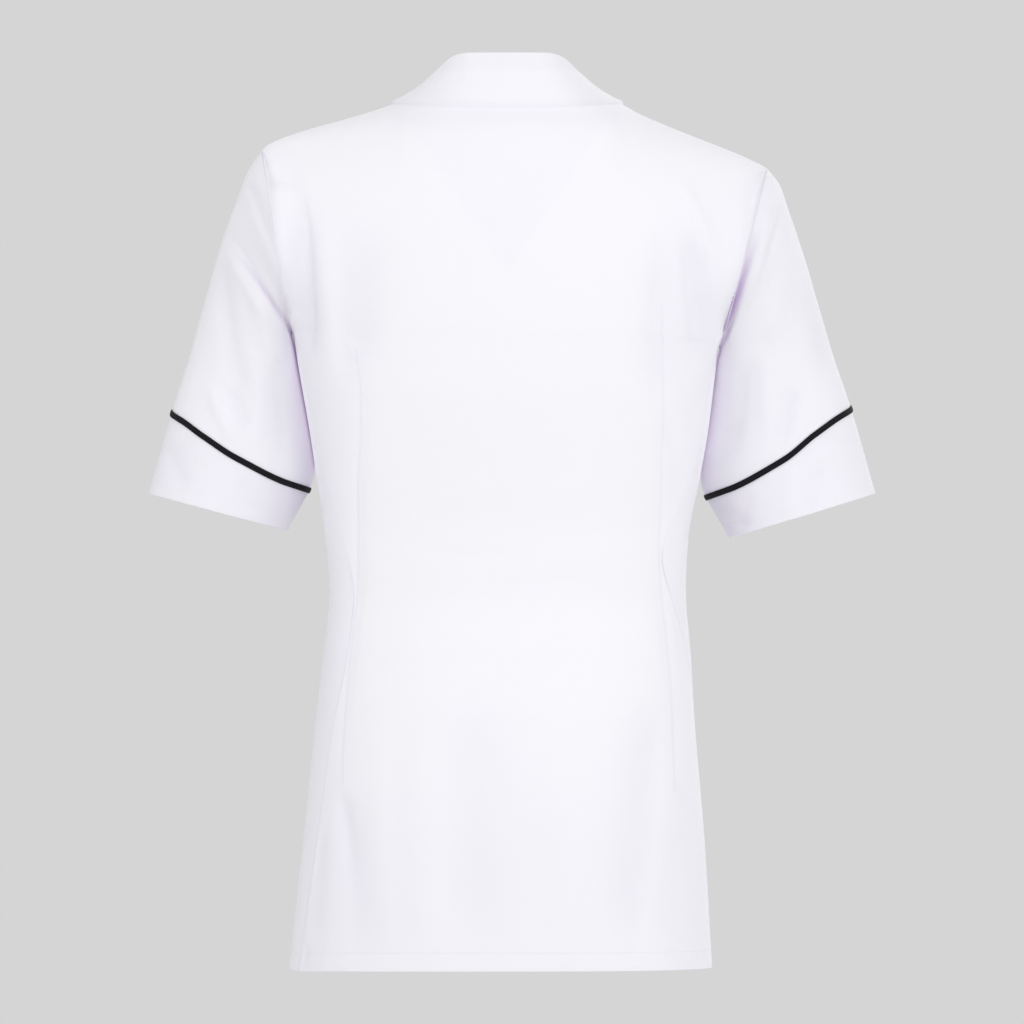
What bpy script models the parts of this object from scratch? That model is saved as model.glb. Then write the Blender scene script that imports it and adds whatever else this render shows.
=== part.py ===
"""Work blouse: a white short-sleeved women's tunic, filled out as it is worn, with nobody in it.

The back is one piece with two long darts, the fronts overlap and button below a V neck, a stand
collar rises from the back neck, and each short sleeve ends in a deep shaped cuff with a flat black
piping in its seam. Every piece of cloth is a thin closed wall of its own.

Metres, +Z up. The garment's front faces -Y and its back +Y, and the wearer's left is +X. The origin
is the centre of the neck, level with the points where the shoulder seams meet the collar.
"""

import bpy
import numpy as np

MM = 0.001

# Cloth
WALL = 1.5 * MM
PIPING_WALL = 1.0 * MM
SEAM_GAP = 0.38 * MM
LAP_GAP = 1.0 * MM

# Trunk: an oval section at each height, "side" to the wearer's left and right, "back" and "front" depth
ROUNDNESS = 2.3
TRUNK = {
    "height": [-690, -588, -492, -440, -388, -348, -300, -260, -220, -180],
    "left":   [ 174,  163,  153,  147,  142,  145,  152,  158,  165,  172],
    "right":  [ 164,  158,  150,  147,  143,  145,  154,  161,  166,  171],
    "back":   [ 112,  111,  103,   91,   80,   80,   85,   90,   94,   95],
    "front":  [ 112,  106,   99,   92,   89,   93,  105,  116,  121,  119],
}
# Side seams: how far each lies towards the back of its side, in degrees round the section
SEAM = {
    "height": [-690, -620, -551, -504, -442, -400, -359, -300, -240, -196, -180],
    "left":   [  19,   22,   25,   27,   32,   33,   30,   20,    8,    0,    0],
    "right":  [ -12,   -8,   -4,    0,   13,   24,   33,   21,    8,    0,    0],
}
HEM_CENTRE_BACK = -686 * MM
HEM_CENTRE_FRONT = -688 * MM
HEM_SIDE = -690 * MM

# Neck and shoulders
NECK_HALF_WIDTH = 93 * MM
BACK_NECK_DEPTH = 68 * MM
BACK_NECK_DROP = 6 * MM
V_POINT_DROP = 146 * MM
V_POINT_DEPTH = 116.5 * MM
NECK_SHARE = 0.328
CORNER_SOFTNESS = 0.5
SHOULDER = {
    "along": [0.0, 0.12, 0.25, 0.40, 0.60, 0.80, 0.95, 1.0],
    "left":  [  0,  4.3,  8.4, 12.8, 18.4,   25, 31.5,  36],
    "right": [  0,  7.7, 14.2, 21.3, 30.3, 39.5, 47.5,  51],
}
OVERLAP = 15 * MM
COLLAR_EDGE = {
    "along":  [0.0, 0.30, 0.45, 0.55, 0.68, 0.84, 0.95, 1.0],
    "side":   [0.0,   30,   40, 46.5,   57, 72.5, 86.5,  92],
    "back":   [ 55,   52,   46,   39,   28,   13,    4,    0],
    "height": [38.5, 38.5, 37.5, 35,   26, 13.6,  5.5,  3.5],
}

# Armholes and sleeves: rings from the armhole to the hem, "in" under the arm and "out" over it
SLEEVES = {
    "left": {
        "in_side":  [ 172,  177,  171,  164,  158,  154,  155,  176],
        "in_drop":  [-182, -185, -199, -221, -250, -276, -296, -340],
        "out_side": [ 196,  207,  217,  229,  242,  255,  268,  288],
        "out_drop": [ -36,  -52,  -76, -108, -152, -198, -240, -310],
        "depth":    [  55,   56,   56,   56,   55,   54,   53,   51],
        "forward":  [   0,    4,   14,   27,   35,   38,   36,   31],
    },
    "right": {
        "in_side":  [ 170,  176,  170,  165,  159,  155,  156,  178],
        "in_drop":  [-193, -196, -210, -230, -257, -281, -302, -346],
        "out_side": [ 208,  218,  226,  238,  251,  264,  277,  296],
        "out_drop": [ -51,  -63,  -84, -118, -160, -204, -243, -310],
        "depth":    [  55,   56,   56,   56,   55,   54,   53,   51],
        "forward":  [   0,    4,   14,   27,   35,   38,   36,   31],
    },
}
CUFF_DEPTH = {"left": (37 * MM, 66 * MM), "right": (35.5 * MM, 69 * MM)}
CUFF_CURVE = 2.0
PIPING_WIDTH = 4 * MM

# Largest folds: troughs and ridges in the cloth, from one end to the other, seen from the back or front
FOLDS = [
    {"on": "back", "from": (163, -75), "to": (156, -215), "deep": 3.5, "wide": 11},
    {"on": "back", "from": (146, -85), "to": (148, -170), "deep": -2.0, "wide": 10},
    {"on": "back", "from": (112, -90), "to": (118, -230), "deep": 3.0, "wide": 17},
    {"on": "back", "from": (-150, -110), "to": (-155, -210), "deep": 3.5, "wide": 12},
    {"on": "back", "from": (-120, -120), "to": (-124, -240), "deep": 2.0, "wide": 17},
    {"on": "back", "from": (30, -470), "to": (24, -680), "deep": 2.5, "wide": 26},
    {"on": "back", "from": (-112, -470), "to": (-92, -680), "deep": 3.0, "wide": 20},
    {"on": "back", "from": (124, -540), "to": (112, -680), "deep": 3.0, "wide": 15},
    {"on": "front", "from": (105, -140), "to": (128, -260), "deep": 3.0, "wide": 16},
    {"on": "front", "from": (-108, -150), "to": (-130, -265), "deep": 3.0, "wide": 16},
    {"on": "front", "from": (82, -450), "to": (92, -680), "deep": 3.0, "wide": 22},
    {"on": "front", "from": (-80, -450), "to": (-96, -680), "deep": 3.0, "wide": 22},
]
SLEEVE_FOLDS = [
    {"round": 118, "from": 0.15, "to": 0.60, "deep": 3.0, "wide": 14},
    {"round": 62, "from": 0.20, "to": 0.85, "deep": 3.0, "wide": 13},
    {"round": 242, "from": 0.15, "to": 0.62, "deep": 3.0, "wide": 14},
    {"round": 298, "from": 0.20, "to": 0.85, "deep": 3.0, "wide": 13},
]

# Buttons, down the centre front
BUTTON_RADIUS = 7.5 * MM
BUTTON_THICKNESS = 2.8 * MM
BUTTON_EDGE = 0.8 * MM
BUTTON_DROPS = [-164 * MM, -256 * MM, -348 * MM, -440 * MM, -532 * MM]

# How finely the walls are divided
NECK_COLUMNS = 6
SHOULDER_COLUMNS = 10
TRUNK_ROWS = 20
ARMHOLE_ROWS = 14
SLEEVE_ROWS = 13
CUFF_ROWS = 4
COLLAR_ROWS = 4

# Colours, from the photo
WHITE = (0.90, 0.89, 0.95, 1.0)
BLACK = (0.012, 0.012, 0.016, 1.0)
BUTTON_WHITE = (0.84, 0.84, 0.88, 1.0)

SIGN = {"left": 1.0, "right": -1.0}


# Small helpers

def through(places, values, at):
    """A smooth curve through the values at those places, level wherever they turn back or stay the same."""
    places = np.asarray(places, float)
    values = np.asarray(values, float)
    rise = np.diff(values) / np.diff(places)
    product = rise[:-1] * rise[1:]
    total = np.where(product > 0, rise[:-1] + rise[1:], 1)
    inner = np.where(product > 0, 2 * product / total, 0)
    slopes = np.concatenate([rise[:1], inner, rise[-1:]])
    at = np.clip(at, places[0], places[-1])
    left = np.clip(np.searchsorted(places, at, side="right") - 1, 0, len(places) - 2)
    span = places[left + 1] - places[left]
    u = (at - places[left]) / span
    start = values[left] * (1 + 2 * u) * (1 - u) ** 2 + slopes[left] * span * u * (1 - u) ** 2
    end = values[left + 1] * u ** 2 * (3 - 2 * u) + slopes[left + 1] * span * u ** 2 * (u - 1)
    return start + end


def smooth_step(x):
    x = np.clip(x, 0, 1)
    return x * x * (3 - 2 * x)


def unit(vectors):
    return vectors / np.maximum(np.linalg.norm(vectors, axis=-1, keepdims=True), 1e-12)


def column(table, name, heights):
    """One column of a table of sections, in metres, at any heights in metres."""
    return through(table["height"], table[name], heights / MM) * MM


# The trunk

def side_columns():
    """Places from the centre line (0) to the side seam (1), one of them at the neck end of the shoulder."""
    neck = np.linspace(0, NECK_SHARE, NECK_COLUMNS + 1)
    shoulder = np.linspace(NECK_SHARE, 1, SHOULDER_COLUMNS + 1)
    return np.concatenate([neck, shoulder[1:]])


def width_share(s):
    """How far out a column lies at the level of the armhole's foot: 0 at the centre and 1 at the side."""
    return np.sin(s * np.pi / 2) ** (2 / ROUNDNESS)


def armhole(side, turn):
    """The armhole's ring: turn is 0 under the arm, 90 at the back, 180 on the shoulder and 270 in front."""
    return sleeve_ring(side, np.zeros(1), turn)[0]


def below_armhole(side, face, s, rise):
    """Points of the trunk from the hem (rise 0) to the foot of the armhole (rise 1)."""
    foot = SLEEVES[side]["in_drop"][0] * MM
    other = SLEEVES["right" if side == "left" else "left"]["in_drop"][0] * MM
    middle = (foot + other) / 2
    centre = HEM_CENTRE_BACK if face == "back" else HEM_CENTRE_FRONT
    hem = centre + (HEM_SIDE - centre) * s ** 2
    top = middle + (foot - middle) * s
    z = hem + (top - hem) * rise[:, None]
    seam = np.radians(through(SEAM["height"], SEAM[side], z / MM))
    if face == "back":
        angle = np.pi / 2 - s * (np.pi / 2 - seam)
    else:
        angle = -np.pi / 2 + s * (np.pi / 2 + seam)
    power = 2 / ROUNDNESS
    depth = np.where(angle > 0, column(TRUNK, "back", z), column(TRUNK, "front", z))
    x = column(TRUNK, side, z) * np.clip(np.cos(angle), 0, 1) ** power
    y = np.sign(angle) * depth * np.abs(np.sin(angle)) ** power
    return x, y, z


def top_edge(side, face, s, soft):
    """The upper edge of a panel: the neck from the centre to the shoulder, then the shoulder seam.

    Soft rounds the corner between them off, so that the rows below run on smoothly. At 0 it is sharp.
    """
    neck_end = width_share(np.float64(NECK_SHARE))
    share = width_share(s) / neck_end
    gap = 1 - share
    neck = np.maximum(1 - (gap + np.hypot(gap, soft)) / (1 + np.hypot(1, soft)), 0)
    shoulder = np.clip((np.hypot(gap, soft) - gap) / 2 / (1 / neck_end - 1), 0, 1)
    tip = SLEEVES[side]["out_side"][0] * MM
    past_neck = np.maximum(share - 1, 0) / (1 / neck_end - 1)
    x = NECK_HALF_WIDTH * np.minimum(share, 1) + (tip - NECK_HALF_WIDTH) * past_neck
    fall = -through(SHOULDER["along"], SHOULDER[side], shoulder) * MM
    if face == "back":
        y = BACK_NECK_DEPTH * (1 - neck ** 2.4) ** 0.6
        z = fall - BACK_NECK_DROP * (1 - neck ** 2)
    else:
        y = -V_POINT_DEPTH * (1 - neck ** 2.2) ** 0.6
        z = fall - V_POINT_DROP * (1 - neck)
    return x, y, z, neck


def panel(side, face, s, lap, trunk_rows, armhole_rows):
    """The outer points of one half of the back or of one front, rows from the hem up, as rows x columns x 3.

    lap is 1 at the free edge of an overlapping front and 0 from the centre line on.
    """
    low = below_armhole(side, face, s, np.linspace(0, 1, trunk_rows + 1))
    foot = [part[-1] for part in low]
    turn = np.linspace(0, 180, armhole_rows + 1)[:, None]
    t = (1 - np.cos(np.radians(turn))) / 2
    soft = CORNER_SOFTNESS * (1 - t) ** 0.6 * (1 - smooth_step((s - NECK_SHARE) / 0.4))
    end_x, end_y, end_z, neck = top_edge(side, face, s, soft)
    round_over = 1 + smooth_step(neck ** 2)
    centre_rise = end_z - foot[2]
    end_z = end_z - lap * OVERLAP * V_POINT_DROP / NECK_HALF_WIDTH
    reach = (end_z - foot[2]) / centre_rise
    facing = 1 if face == "back" else -1
    ring = armhole(side, (facing * turn[:, 0]) % 360)
    pull = s ** 4
    straight = foot[0][-1] + (end_x[-1] - foot[0][-1]) * t
    ring_x = SIGN[side] * ring[:, None, 0]
    x = foot[0] + (end_x - foot[0]) * t + (ring_x - straight) * pull
    curve = (1 - (t * reach) ** 2) ** (1 / round_over)
    ease = (4 * t * (1 - t)) ** (1.2 * np.minimum((1 - s) / 0.3, 1))
    y = end_y + (foot[1] - end_y) * curve + ring[:, None, 1] * pull * ease
    z = foot[2] + (end_z - foot[2]) * t
    x = np.vstack([low[0][:-1], x]) - lap * OVERLAP
    y = np.vstack([low[1][:-1], y])
    z = np.vstack([low[2][:-1], z])
    return np.stack([SIGN[side] * x, y, z], axis=-1)


# The sleeves

def sleeve_ring(side, along, turn):
    """Points of the sleeve's outside: along is 0 at the armhole and 1 at the hem, as along x turn x 3."""
    table = SLEEVES[side]
    rows = np.linspace(0, 1, len(table["depth"]))
    value = {name: through(rows, numbers, along)[:, None] * MM for name, numbers in table.items()}
    turn = np.radians(turn)[None, :]
    over = -np.cos(turn)
    across = np.sin(turn)
    x = (value["in_side"] + value["out_side"]) / 2 + (value["out_side"] - value["in_side"]) / 2 * over
    z = (value["in_drop"] + value["out_drop"]) / 2 + (value["out_drop"] - value["in_drop"]) / 2 * over
    y = value["depth"] * across - value["forward"]
    bow = np.where(across > 0, 3.0, -4.0) * MM * np.abs(across) * (1 - along[:, None]) ** 6
    return np.stack([SIGN[side] * (x + bow), y, z], axis=-1)


def cuff_depth(side, turn):
    """How far the cuff's seam lies above the sleeve's hem, round the sleeve."""
    under, over = CUFF_DEPTH[side]
    return under + (over - under) * ((1 - np.cos(np.radians(turn))) / 2) ** CUFF_CURVE


def sleeve_between(side, start, end, rows, turn):
    """Rings of the sleeve between two distances above the hem, given for each turn, as rows x turn x 3.

    With no start it begins at the armhole, where the rings lie closer together.
    """
    along = np.linspace(0, 1, 161)
    rings = sleeve_ring(side, along, turn)
    steps = np.linalg.norm(np.diff(rings, axis=0), axis=-1)
    run = np.vstack([np.zeros(len(turn)), np.cumsum(steps, axis=0)])
    above_hem = run[-1] - run
    wanted = np.linspace(0, 1, rows + 1) ** (1.5 if start is None else 1)
    lines = []
    for i, angle in enumerate(turn):
        first = above_hem[0, i] if start is None else start[i]
        heights = first + (end[i] - first) * wanted
        places = np.interp(-heights, -above_hem[:, i], along)
        lines.append(sleeve_ring(side, places, np.array([angle]))[:, 0])
    return np.stack(lines, axis=1)


# The collar

def collar(neck_line):
    """The stand collar: from the back's neck line up to its own edge, as rows x columns x 3."""
    across = neck_line[:, 0] / NECK_HALF_WIDTH
    along = np.abs(across)
    names = ("side", "back", "height")
    side, back, height = (through(COLLAR_EDGE["along"], COLLAR_EDGE[name], along) * MM for name in names)
    edge = np.stack([np.sign(across) * side, back, height], axis=-1)
    rise = np.linspace(0, 1, COLLAR_ROWS + 1)[:, None, None]
    return neck_line + (edge - neck_line) * rise


# Folds

def fold_depth(place, start, end, deep, wide):
    """Depth of one fold at each place: full along its line, fading at its ends and to its sides."""
    start = np.asarray(start, float)
    line = np.asarray(end, float) - start
    length = np.linalg.norm(line)
    direction = line / length
    offset = place - start
    run = offset @ direction
    away = offset[..., 0] * direction[1] - offset[..., 1] * direction[0]
    beyond = np.maximum(np.maximum(-run, run - length), 0)
    return deep * np.exp(-(away / wide) ** 2 - (beyond / (1.6 * wide)) ** 2)


def trunk_folds(points, face, s, armhole_rows):
    """How far each point of a panel sinks, none at all at the seams that it shares."""
    place = points[..., [0, 2]] / MM
    depth = sum(
        fold_depth(place, fold["from"], fold["to"], fold["deep"], fold["wide"])
        for fold in FOLDS
        if fold["on"] == face
    )
    rows = len(points)
    up = np.clip((np.arange(rows) - (rows - 1 - armhole_rows)) / armhole_rows, 0, 1)[:, None]
    return depth * MM * (1 - np.abs(s) ** 10) * (1 - up ** 6)


def sleeve_folds(rings, turn, rows_share):
    """How far each point of a sleeve sinks, none at all at the armhole and the cuff's seam."""
    size = 65.0
    depth = np.zeros(rings.shape[:2])
    for fold in SLEEVE_FOLDS:
        away = (turn[None, :] - fold["round"]) / 180 * np.pi * size
        beyond = np.maximum(np.maximum(fold["from"] - rows_share, rows_share - fold["to"]), 0)[:, None]
        depth += fold["deep"] * np.exp(-(away / fold["wide"]) ** 2 - (beyond / 0.12) ** 2)
    ends = smooth_step(rows_share / 0.15) * smooth_step((1 - rows_share) / 0.15)
    return depth * MM * ends[:, None]


# Walls

def grid_triangles(points, closed):
    """Triangles of a sheet, each cell cut along its shorter diagonal. A closed one joins last column to first."""
    rows, columns = points.shape[:2]
    row, col = np.meshgrid(np.arange(rows - 1), np.arange(columns if closed else columns - 1), indexing="ij")
    right = (col + 1) % columns
    a = row * columns + col
    b = row * columns + right
    c = (row + 1) * columns + right
    d = (row + 1) * columns + col
    flat = points.reshape(-1, 3)
    short = np.linalg.norm(flat[a] - flat[c], axis=-1) <= np.linalg.norm(flat[b] - flat[d], axis=-1)
    first = np.stack([a, b, np.where(short, c, d)], -1)
    second = np.stack([np.where(short, a, b), c, d], -1)
    return np.concatenate([first.reshape(-1, 3), second.reshape(-1, 3)])


def shared_normals(sheets):
    """Outward direction at each point of each sheet, averaged over all the sheets that meet there."""
    points = np.concatenate([points.reshape(-1, 3) for points, closed in sheets])
    _, place = np.unique(np.round(points, 6), axis=0, return_inverse=True)
    place = place.reshape(-1)
    total = np.zeros((place.max() + 1, 3))
    first = 0
    for sheet, closed in sheets:
        tris = grid_triangles(sheet, closed) + first
        corners = points[tris]
        normal = np.cross(corners[:, 1] - corners[:, 0], corners[:, 2] - corners[:, 0])
        for corner in range(3):
            np.add.at(total, place[tris[:, corner]], unit(normal))
        first += sheet.shape[0] * sheet.shape[1]
    normals = unit(total)[place]
    sizes = np.cumsum([sheet.shape[0] * sheet.shape[1] for sheet, closed in sheets])[:-1]
    return [part.reshape(sheet.shape) for part, (sheet, closed) in zip(np.split(normals, sizes), sheets)]


def trimmed(points, own, normals, closed):
    """Each free edge of a sheet drawn back by half a seam gap, so that two sheets at a seam stay apart."""
    shift = np.zeros_like(points)
    edges = [(0, 1, False), (-1, -2, False)]
    if not closed:
        edges += [(0, 1, True), (-1, -2, True)]
    for edge, inner, is_column in edges:
        grid = points.swapaxes(0, 1) if is_column else points
        facing = normals.swapaxes(0, 1) if is_column else normals
        lying = own.swapaxes(0, 1) if is_column else own
        moved = shift.swapaxes(0, 1) if is_column else shift
        tangent = unit(np.gradient(grid[edge], axis=0))
        away = unit(np.cross(tangent, lying[edge]))
        away *= np.sign(np.sum(away * (grid[inner] - grid[edge]), axis=-1, keepdims=True))
        mitre = unit(np.cross(tangent, facing[edge]))
        share = np.maximum(np.abs(np.sum(away * mitre, axis=-1, keepdims=True)), 0.25)
        moved[edge] += away * SEAM_GAP / 2 / share
    return points + shift


def wall(name, points, normals, material, thickness=WALL, closed=False):
    """A closed wall of cloth: the sheet's points outside, the same points moved in, and its edges."""
    rows, columns = points.shape[:2]
    own = shared_normals([(points, closed)])[0]
    outer = trimmed(points, own, normals, closed)
    inner = outer - normals * thickness
    count = rows * columns
    outside = grid_triangles(outer, closed)
    inside = outside[:, ::-1] + count
    lines = [np.arange(columns), np.arange(columns) + (rows - 1) * columns]
    if closed:
        lines = [np.append(line, line[0]) for line in lines]
    rims = [(lines[0][::-1]), lines[1]]
    if not closed:
        rims += [np.arange(rows) * columns, (np.arange(rows) * columns + columns - 1)[::-1]]
    faces = [outside, inside]
    for line in rims:
        a, b = line[:-1], line[1:]
        faces.append(np.stack([a, b, b + count], -1))
        faces.append(np.stack([a, b + count, a + count], -1))
    vertices = np.concatenate([outer.reshape(-1, 3), inner.reshape(-1, 3)])
    mesh = bpy.data.meshes.new(name)
    mesh.from_pydata(vertices.tolist(), [], np.concatenate(faces).tolist())
    mesh.shade_smooth()
    mesh.materials.append(material)
    piece = bpy.data.objects.new(name, mesh)
    blouse.objects.link(piece)
    return piece


def principled(name, colour, roughness):
    material = bpy.data.materials.new(name)
    material.use_nodes = True
    shader = material.node_tree.nodes["Principled BSDF"]
    shader.inputs["Base Color"].default_value = colour
    shader.inputs["Roughness"].default_value = roughness
    shader.inputs["Metallic"].default_value = 0.0
    return material


# The garment's pieces

def back_sheet():
    """The back in one piece, from the wearer's right side seam to the left one."""
    s = side_columns()
    lap = np.zeros_like(s)
    left = panel("left", "back", s, lap, TRUNK_ROWS, ARMHOLE_ROWS)
    right = panel("right", "back", s, lap, TRUNK_ROWS, ARMHOLE_ROWS)
    return np.concatenate([right[:, :0:-1], left], axis=1)[:, ::-1]


def front_sheet(side):
    """One front, from its free edge past the centre line to its side seam."""
    s = np.concatenate([[0.0, 0.0], side_columns()])
    lap = np.concatenate([[1.0, 0.5], np.zeros(len(s) - 2)])
    points = panel(side, "front", s, lap, TRUNK_ROWS, ARMHOLE_ROWS)
    return points if side == "left" else points[:, ::-1]


def tucked_under(points, normals):
    """The left front near the centre line, set in by one wall and a gap to lie under the right one."""
    share = 1 - smooth_step((points[..., :1] - (OVERLAP + 6 * MM)) / (20 * MM))
    return points - normals * share * (WALL + LAP_GAP)


def signed_columns(side=None):
    s = side_columns()
    if side is None:
        return np.concatenate([s[:0:-1], s])
    front = np.concatenate([[0.0, 0.0], s])
    return front if side == "left" else front[::-1]


def build_trunk_and_sleeves(white, black):
    turn = np.linspace(0, 360, 2 * ARMHOLE_ROWS + 1)[:-1]
    sheets = {"back": (back_sheet(), False)}
    for side in SIGN:
        sheets["front_" + side] = (front_sheet(side), False)
        seam = cuff_depth(side, turn)
        order = slice(None) if side == "left" else slice(None, None, -1)
        sleeve = sleeve_between(side, None, seam, SLEEVE_ROWS, turn)
        cuff = sleeve_between(side, seam, np.zeros_like(seam), CUFF_ROWS, turn)
        strip = sleeve_between(side, seam - 0.2 * MM, seam - PIPING_WIDTH - 0.2 * MM, 1, turn)
        sheets["sleeve_" + side] = (sleeve[:, order], True)
        sheets["cuff_" + side] = (cuff[:, order], True)
        sheets["piping_" + side] = (strip[:, order], True)
    sheets["collar"] = (collar_sheet(sheets["back"][0]), False)
    sheets = with_folds(sheets, turn)
    names = [name for name in sheets if not name.startswith("piping")]
    normals = dict(zip(names, shared_normals([sheets[name] for name in names])))
    front = sheets["front_left"][0]
    sheets["front_left"] = (tucked_under(front, normals["front_left"]), False)
    for name in names:
        points, closed = sheets[name]
        wall(name, points, normals[name], white, closed=closed)
    for side in SIGN:
        name = "piping_" + side
        points, closed = sheets[name]
        outward = shared_normals([sheets[name]])[0]
        raised = points + outward * (SEAM_GAP + PIPING_WALL)
        wall(name, raised, outward, black, PIPING_WALL, closed=True)
    return sheets["front_right"][0], normals["front_right"]


def collar_sheet(back):
    """The collar on the back's neck line, between the neck ends of the two shoulder seams."""
    middle = back.shape[1] // 2
    neck_line = back[-1, middle - NECK_COLUMNS:middle + NECK_COLUMNS + 1]
    return collar(neck_line)


def with_folds(sheets, turn):
    """The same sheets with their largest folds pressed in along their own outward directions."""
    folded = {}
    for name, (points, closed) in sheets.items():
        normals = shared_normals([(points, closed)])[0]
        if name == "back" or name.startswith("front"):
            face = name.split("_")[0]
            side = None if face == "back" else name.split("_")[1]
            depth = trunk_folds(points, face, signed_columns(side), ARMHOLE_ROWS)
            points = points - normals * depth[..., None]
        elif name.startswith("sleeve"):
            order = turn if name.endswith("left") else turn[::-1]
            depth = sleeve_folds(points, order, np.linspace(0, 1, len(points)))
            points = points - normals * depth[..., None]
        folded[name] = (points, closed)
    return folded


def build_buttons(front, normals, material):
    """Plain round buttons on the centre line of the right front, which lies over the left one."""
    centre = front.shape[1] - 3
    line = front[:, centre]
    facing = normals[:, centre]
    for number, drop in enumerate(BUTTON_DROPS, 1):
        spot = np.array([np.interp(drop, line[:, 2], line[:, axis]) for axis in range(3)])
        out = unit(np.array([np.interp(drop, line[:, 2], facing[:, axis]) for axis in range(3)]))
        bpy.ops.mesh.primitive_cylinder_add(
            vertices=24, radius=BUTTON_RADIUS, depth=BUTTON_THICKNESS,
            location=spot + out * (BUTTON_THICKNESS / 2 + SEAM_GAP + 0.1 * MM))
        button = bpy.context.object
        button.name = f"button_{number}"
        lean = np.arctan2(out[2], -out[1])
        turn = np.arctan2(out[0], -out[1])
        button.rotation_euler = (np.pi / 2 - lean, 0, turn)
        edge = button.modifiers.new("rounded edge", "BEVEL")
        edge.width = BUTTON_EDGE
        edge.segments = 2
        button.data.materials.append(material)
        button.data.shade_smooth()
        bpy.context.collection.objects.unlink(button)
        blouse.objects.link(button)


for old in list(bpy.data.objects):
    bpy.data.objects.remove(old)
blouse = bpy.data.collections.new("work_blouse")
bpy.context.scene.collection.children.link(blouse)
cloth = principled("white cloth", WHITE, 0.85)
piping = principled("black piping", BLACK, 0.7)
plastic = principled("button plastic", BUTTON_WHITE, 0.35)
right_front, right_normals = build_trunk_and_sleeves(cloth, piping)
build_buttons(right_front, right_normals, plastic)
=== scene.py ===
# %% [markdown]
# # A white work blouse, filled out as it is worn
#
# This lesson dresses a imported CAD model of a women's work blouse. It is seen from behind: a one-piece
# back with two long darts, a stand collar, and short sleeves whose deep cuffs carry a flat black piping.
# The CAD solids are coarse walls of cloth. Here every panel is worked out again from the same cut, far
# more finely, with its creases, seams, weave and stitching, and takes the place of its coarse solid.

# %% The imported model
import math

import bpy
import numpy as np
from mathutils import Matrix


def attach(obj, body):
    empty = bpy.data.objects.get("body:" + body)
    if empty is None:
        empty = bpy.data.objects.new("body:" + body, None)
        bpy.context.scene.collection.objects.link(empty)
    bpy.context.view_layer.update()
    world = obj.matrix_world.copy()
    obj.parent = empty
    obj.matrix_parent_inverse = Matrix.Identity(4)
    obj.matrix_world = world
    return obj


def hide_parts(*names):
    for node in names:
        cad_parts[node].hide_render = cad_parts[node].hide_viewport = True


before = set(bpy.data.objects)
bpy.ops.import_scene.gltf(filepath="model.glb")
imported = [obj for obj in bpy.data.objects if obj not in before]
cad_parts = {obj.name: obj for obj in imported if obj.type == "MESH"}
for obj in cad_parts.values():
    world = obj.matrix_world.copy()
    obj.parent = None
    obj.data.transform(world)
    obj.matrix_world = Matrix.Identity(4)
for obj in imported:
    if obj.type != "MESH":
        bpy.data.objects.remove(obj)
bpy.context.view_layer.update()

MM = 0.001

# %% [markdown]
# ## Camera
#
# The photograph looks level at the garment's back from far away, so its sides barely converge. A long
# lens six metres behind the blouse gives that flat, calm view. The blouse's front faces -Y, so the camera
# stands on the +Y side and looks along -Y, which puts the wearer's left on the left of the picture.

# %% Camera
CAMERA_PLACE = (-0.004, 6.0, -0.3256)
CAMERA_LENS = 263.7

camera = bpy.data.objects.new("camera", bpy.data.cameras.new("camera"))
bpy.context.scene.collection.objects.link(camera)
camera.location = CAMERA_PLACE
camera.rotation_euler = (math.pi / 2, 0.0, math.pi)
camera.data.lens = CAMERA_LENS
camera.data.sensor_width = 36.0
bpy.context.scene.camera = camera
print("one pixel is", round(36 / CAMERA_LENS * CAMERA_PLACE[1] / 1024 / MM, 3), "mm at the blouse")

# %% [markdown]
# ## Light and floor
#
# White cloth on a pale grey ground keeps its form only if the light stays soft and comes a little more from
# one side. A grey world lights every hollow, one wide lamp above the picture's right side models the folds,
# a high one on the left and a weak low one on the right keep the sleeves from going grey, and one on the
# far side serves a look at the front. The floor lies well below the picture, where feet would stand.

# %% Light and floor
BACKDROP_GREY = 0.665
LAMPS = [
    {"name": "key", "place": (-1.9, 4.2, 1.5), "across": 2.2, "watts": 60},
    {"name": "left side", "place": (2.7, 2.2, 1.6), "across": 2.2, "watts": 37},
    {"name": "right side", "place": (-3.4, 1.2, 0.1), "across": 2.6, "watts": 17},
    {"name": "front", "place": (-1.6, -4.2, 1.6), "across": 2.4, "watts": 68},
]
FLOOR = {"height": -1.45, "radius": 9, "corners": 96, "grey": 0.84}

world = bpy.data.worlds.new("studio grey")
world.use_nodes = True
world.node_tree.nodes["Background"].inputs["Color"].default_value = (BACKDROP_GREY,) * 3 + (1.0,)
bpy.context.scene.world = world
bpy.context.scene.view_settings.view_transform = "Standard"


def aimed_lamp(name, place, across, watts, target=(0.0, 0.0, -0.32)):
    """A square area lamp at a place, turned to face the blouse's middle."""
    data = bpy.data.lights.new(name, "AREA")
    data.size = across
    data.energy = watts
    lamp = bpy.data.objects.new(name, data)
    lamp.location = place
    away = np.array(place) - np.array(target)
    flat = math.hypot(away[0], away[1])
    lamp.rotation_euler = (math.atan2(flat, away[2]), 0.0, math.atan2(away[0], -away[1]))
    bpy.context.scene.collection.objects.link(lamp)


for lamp in LAMPS:
    aimed_lamp(**lamp)

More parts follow.
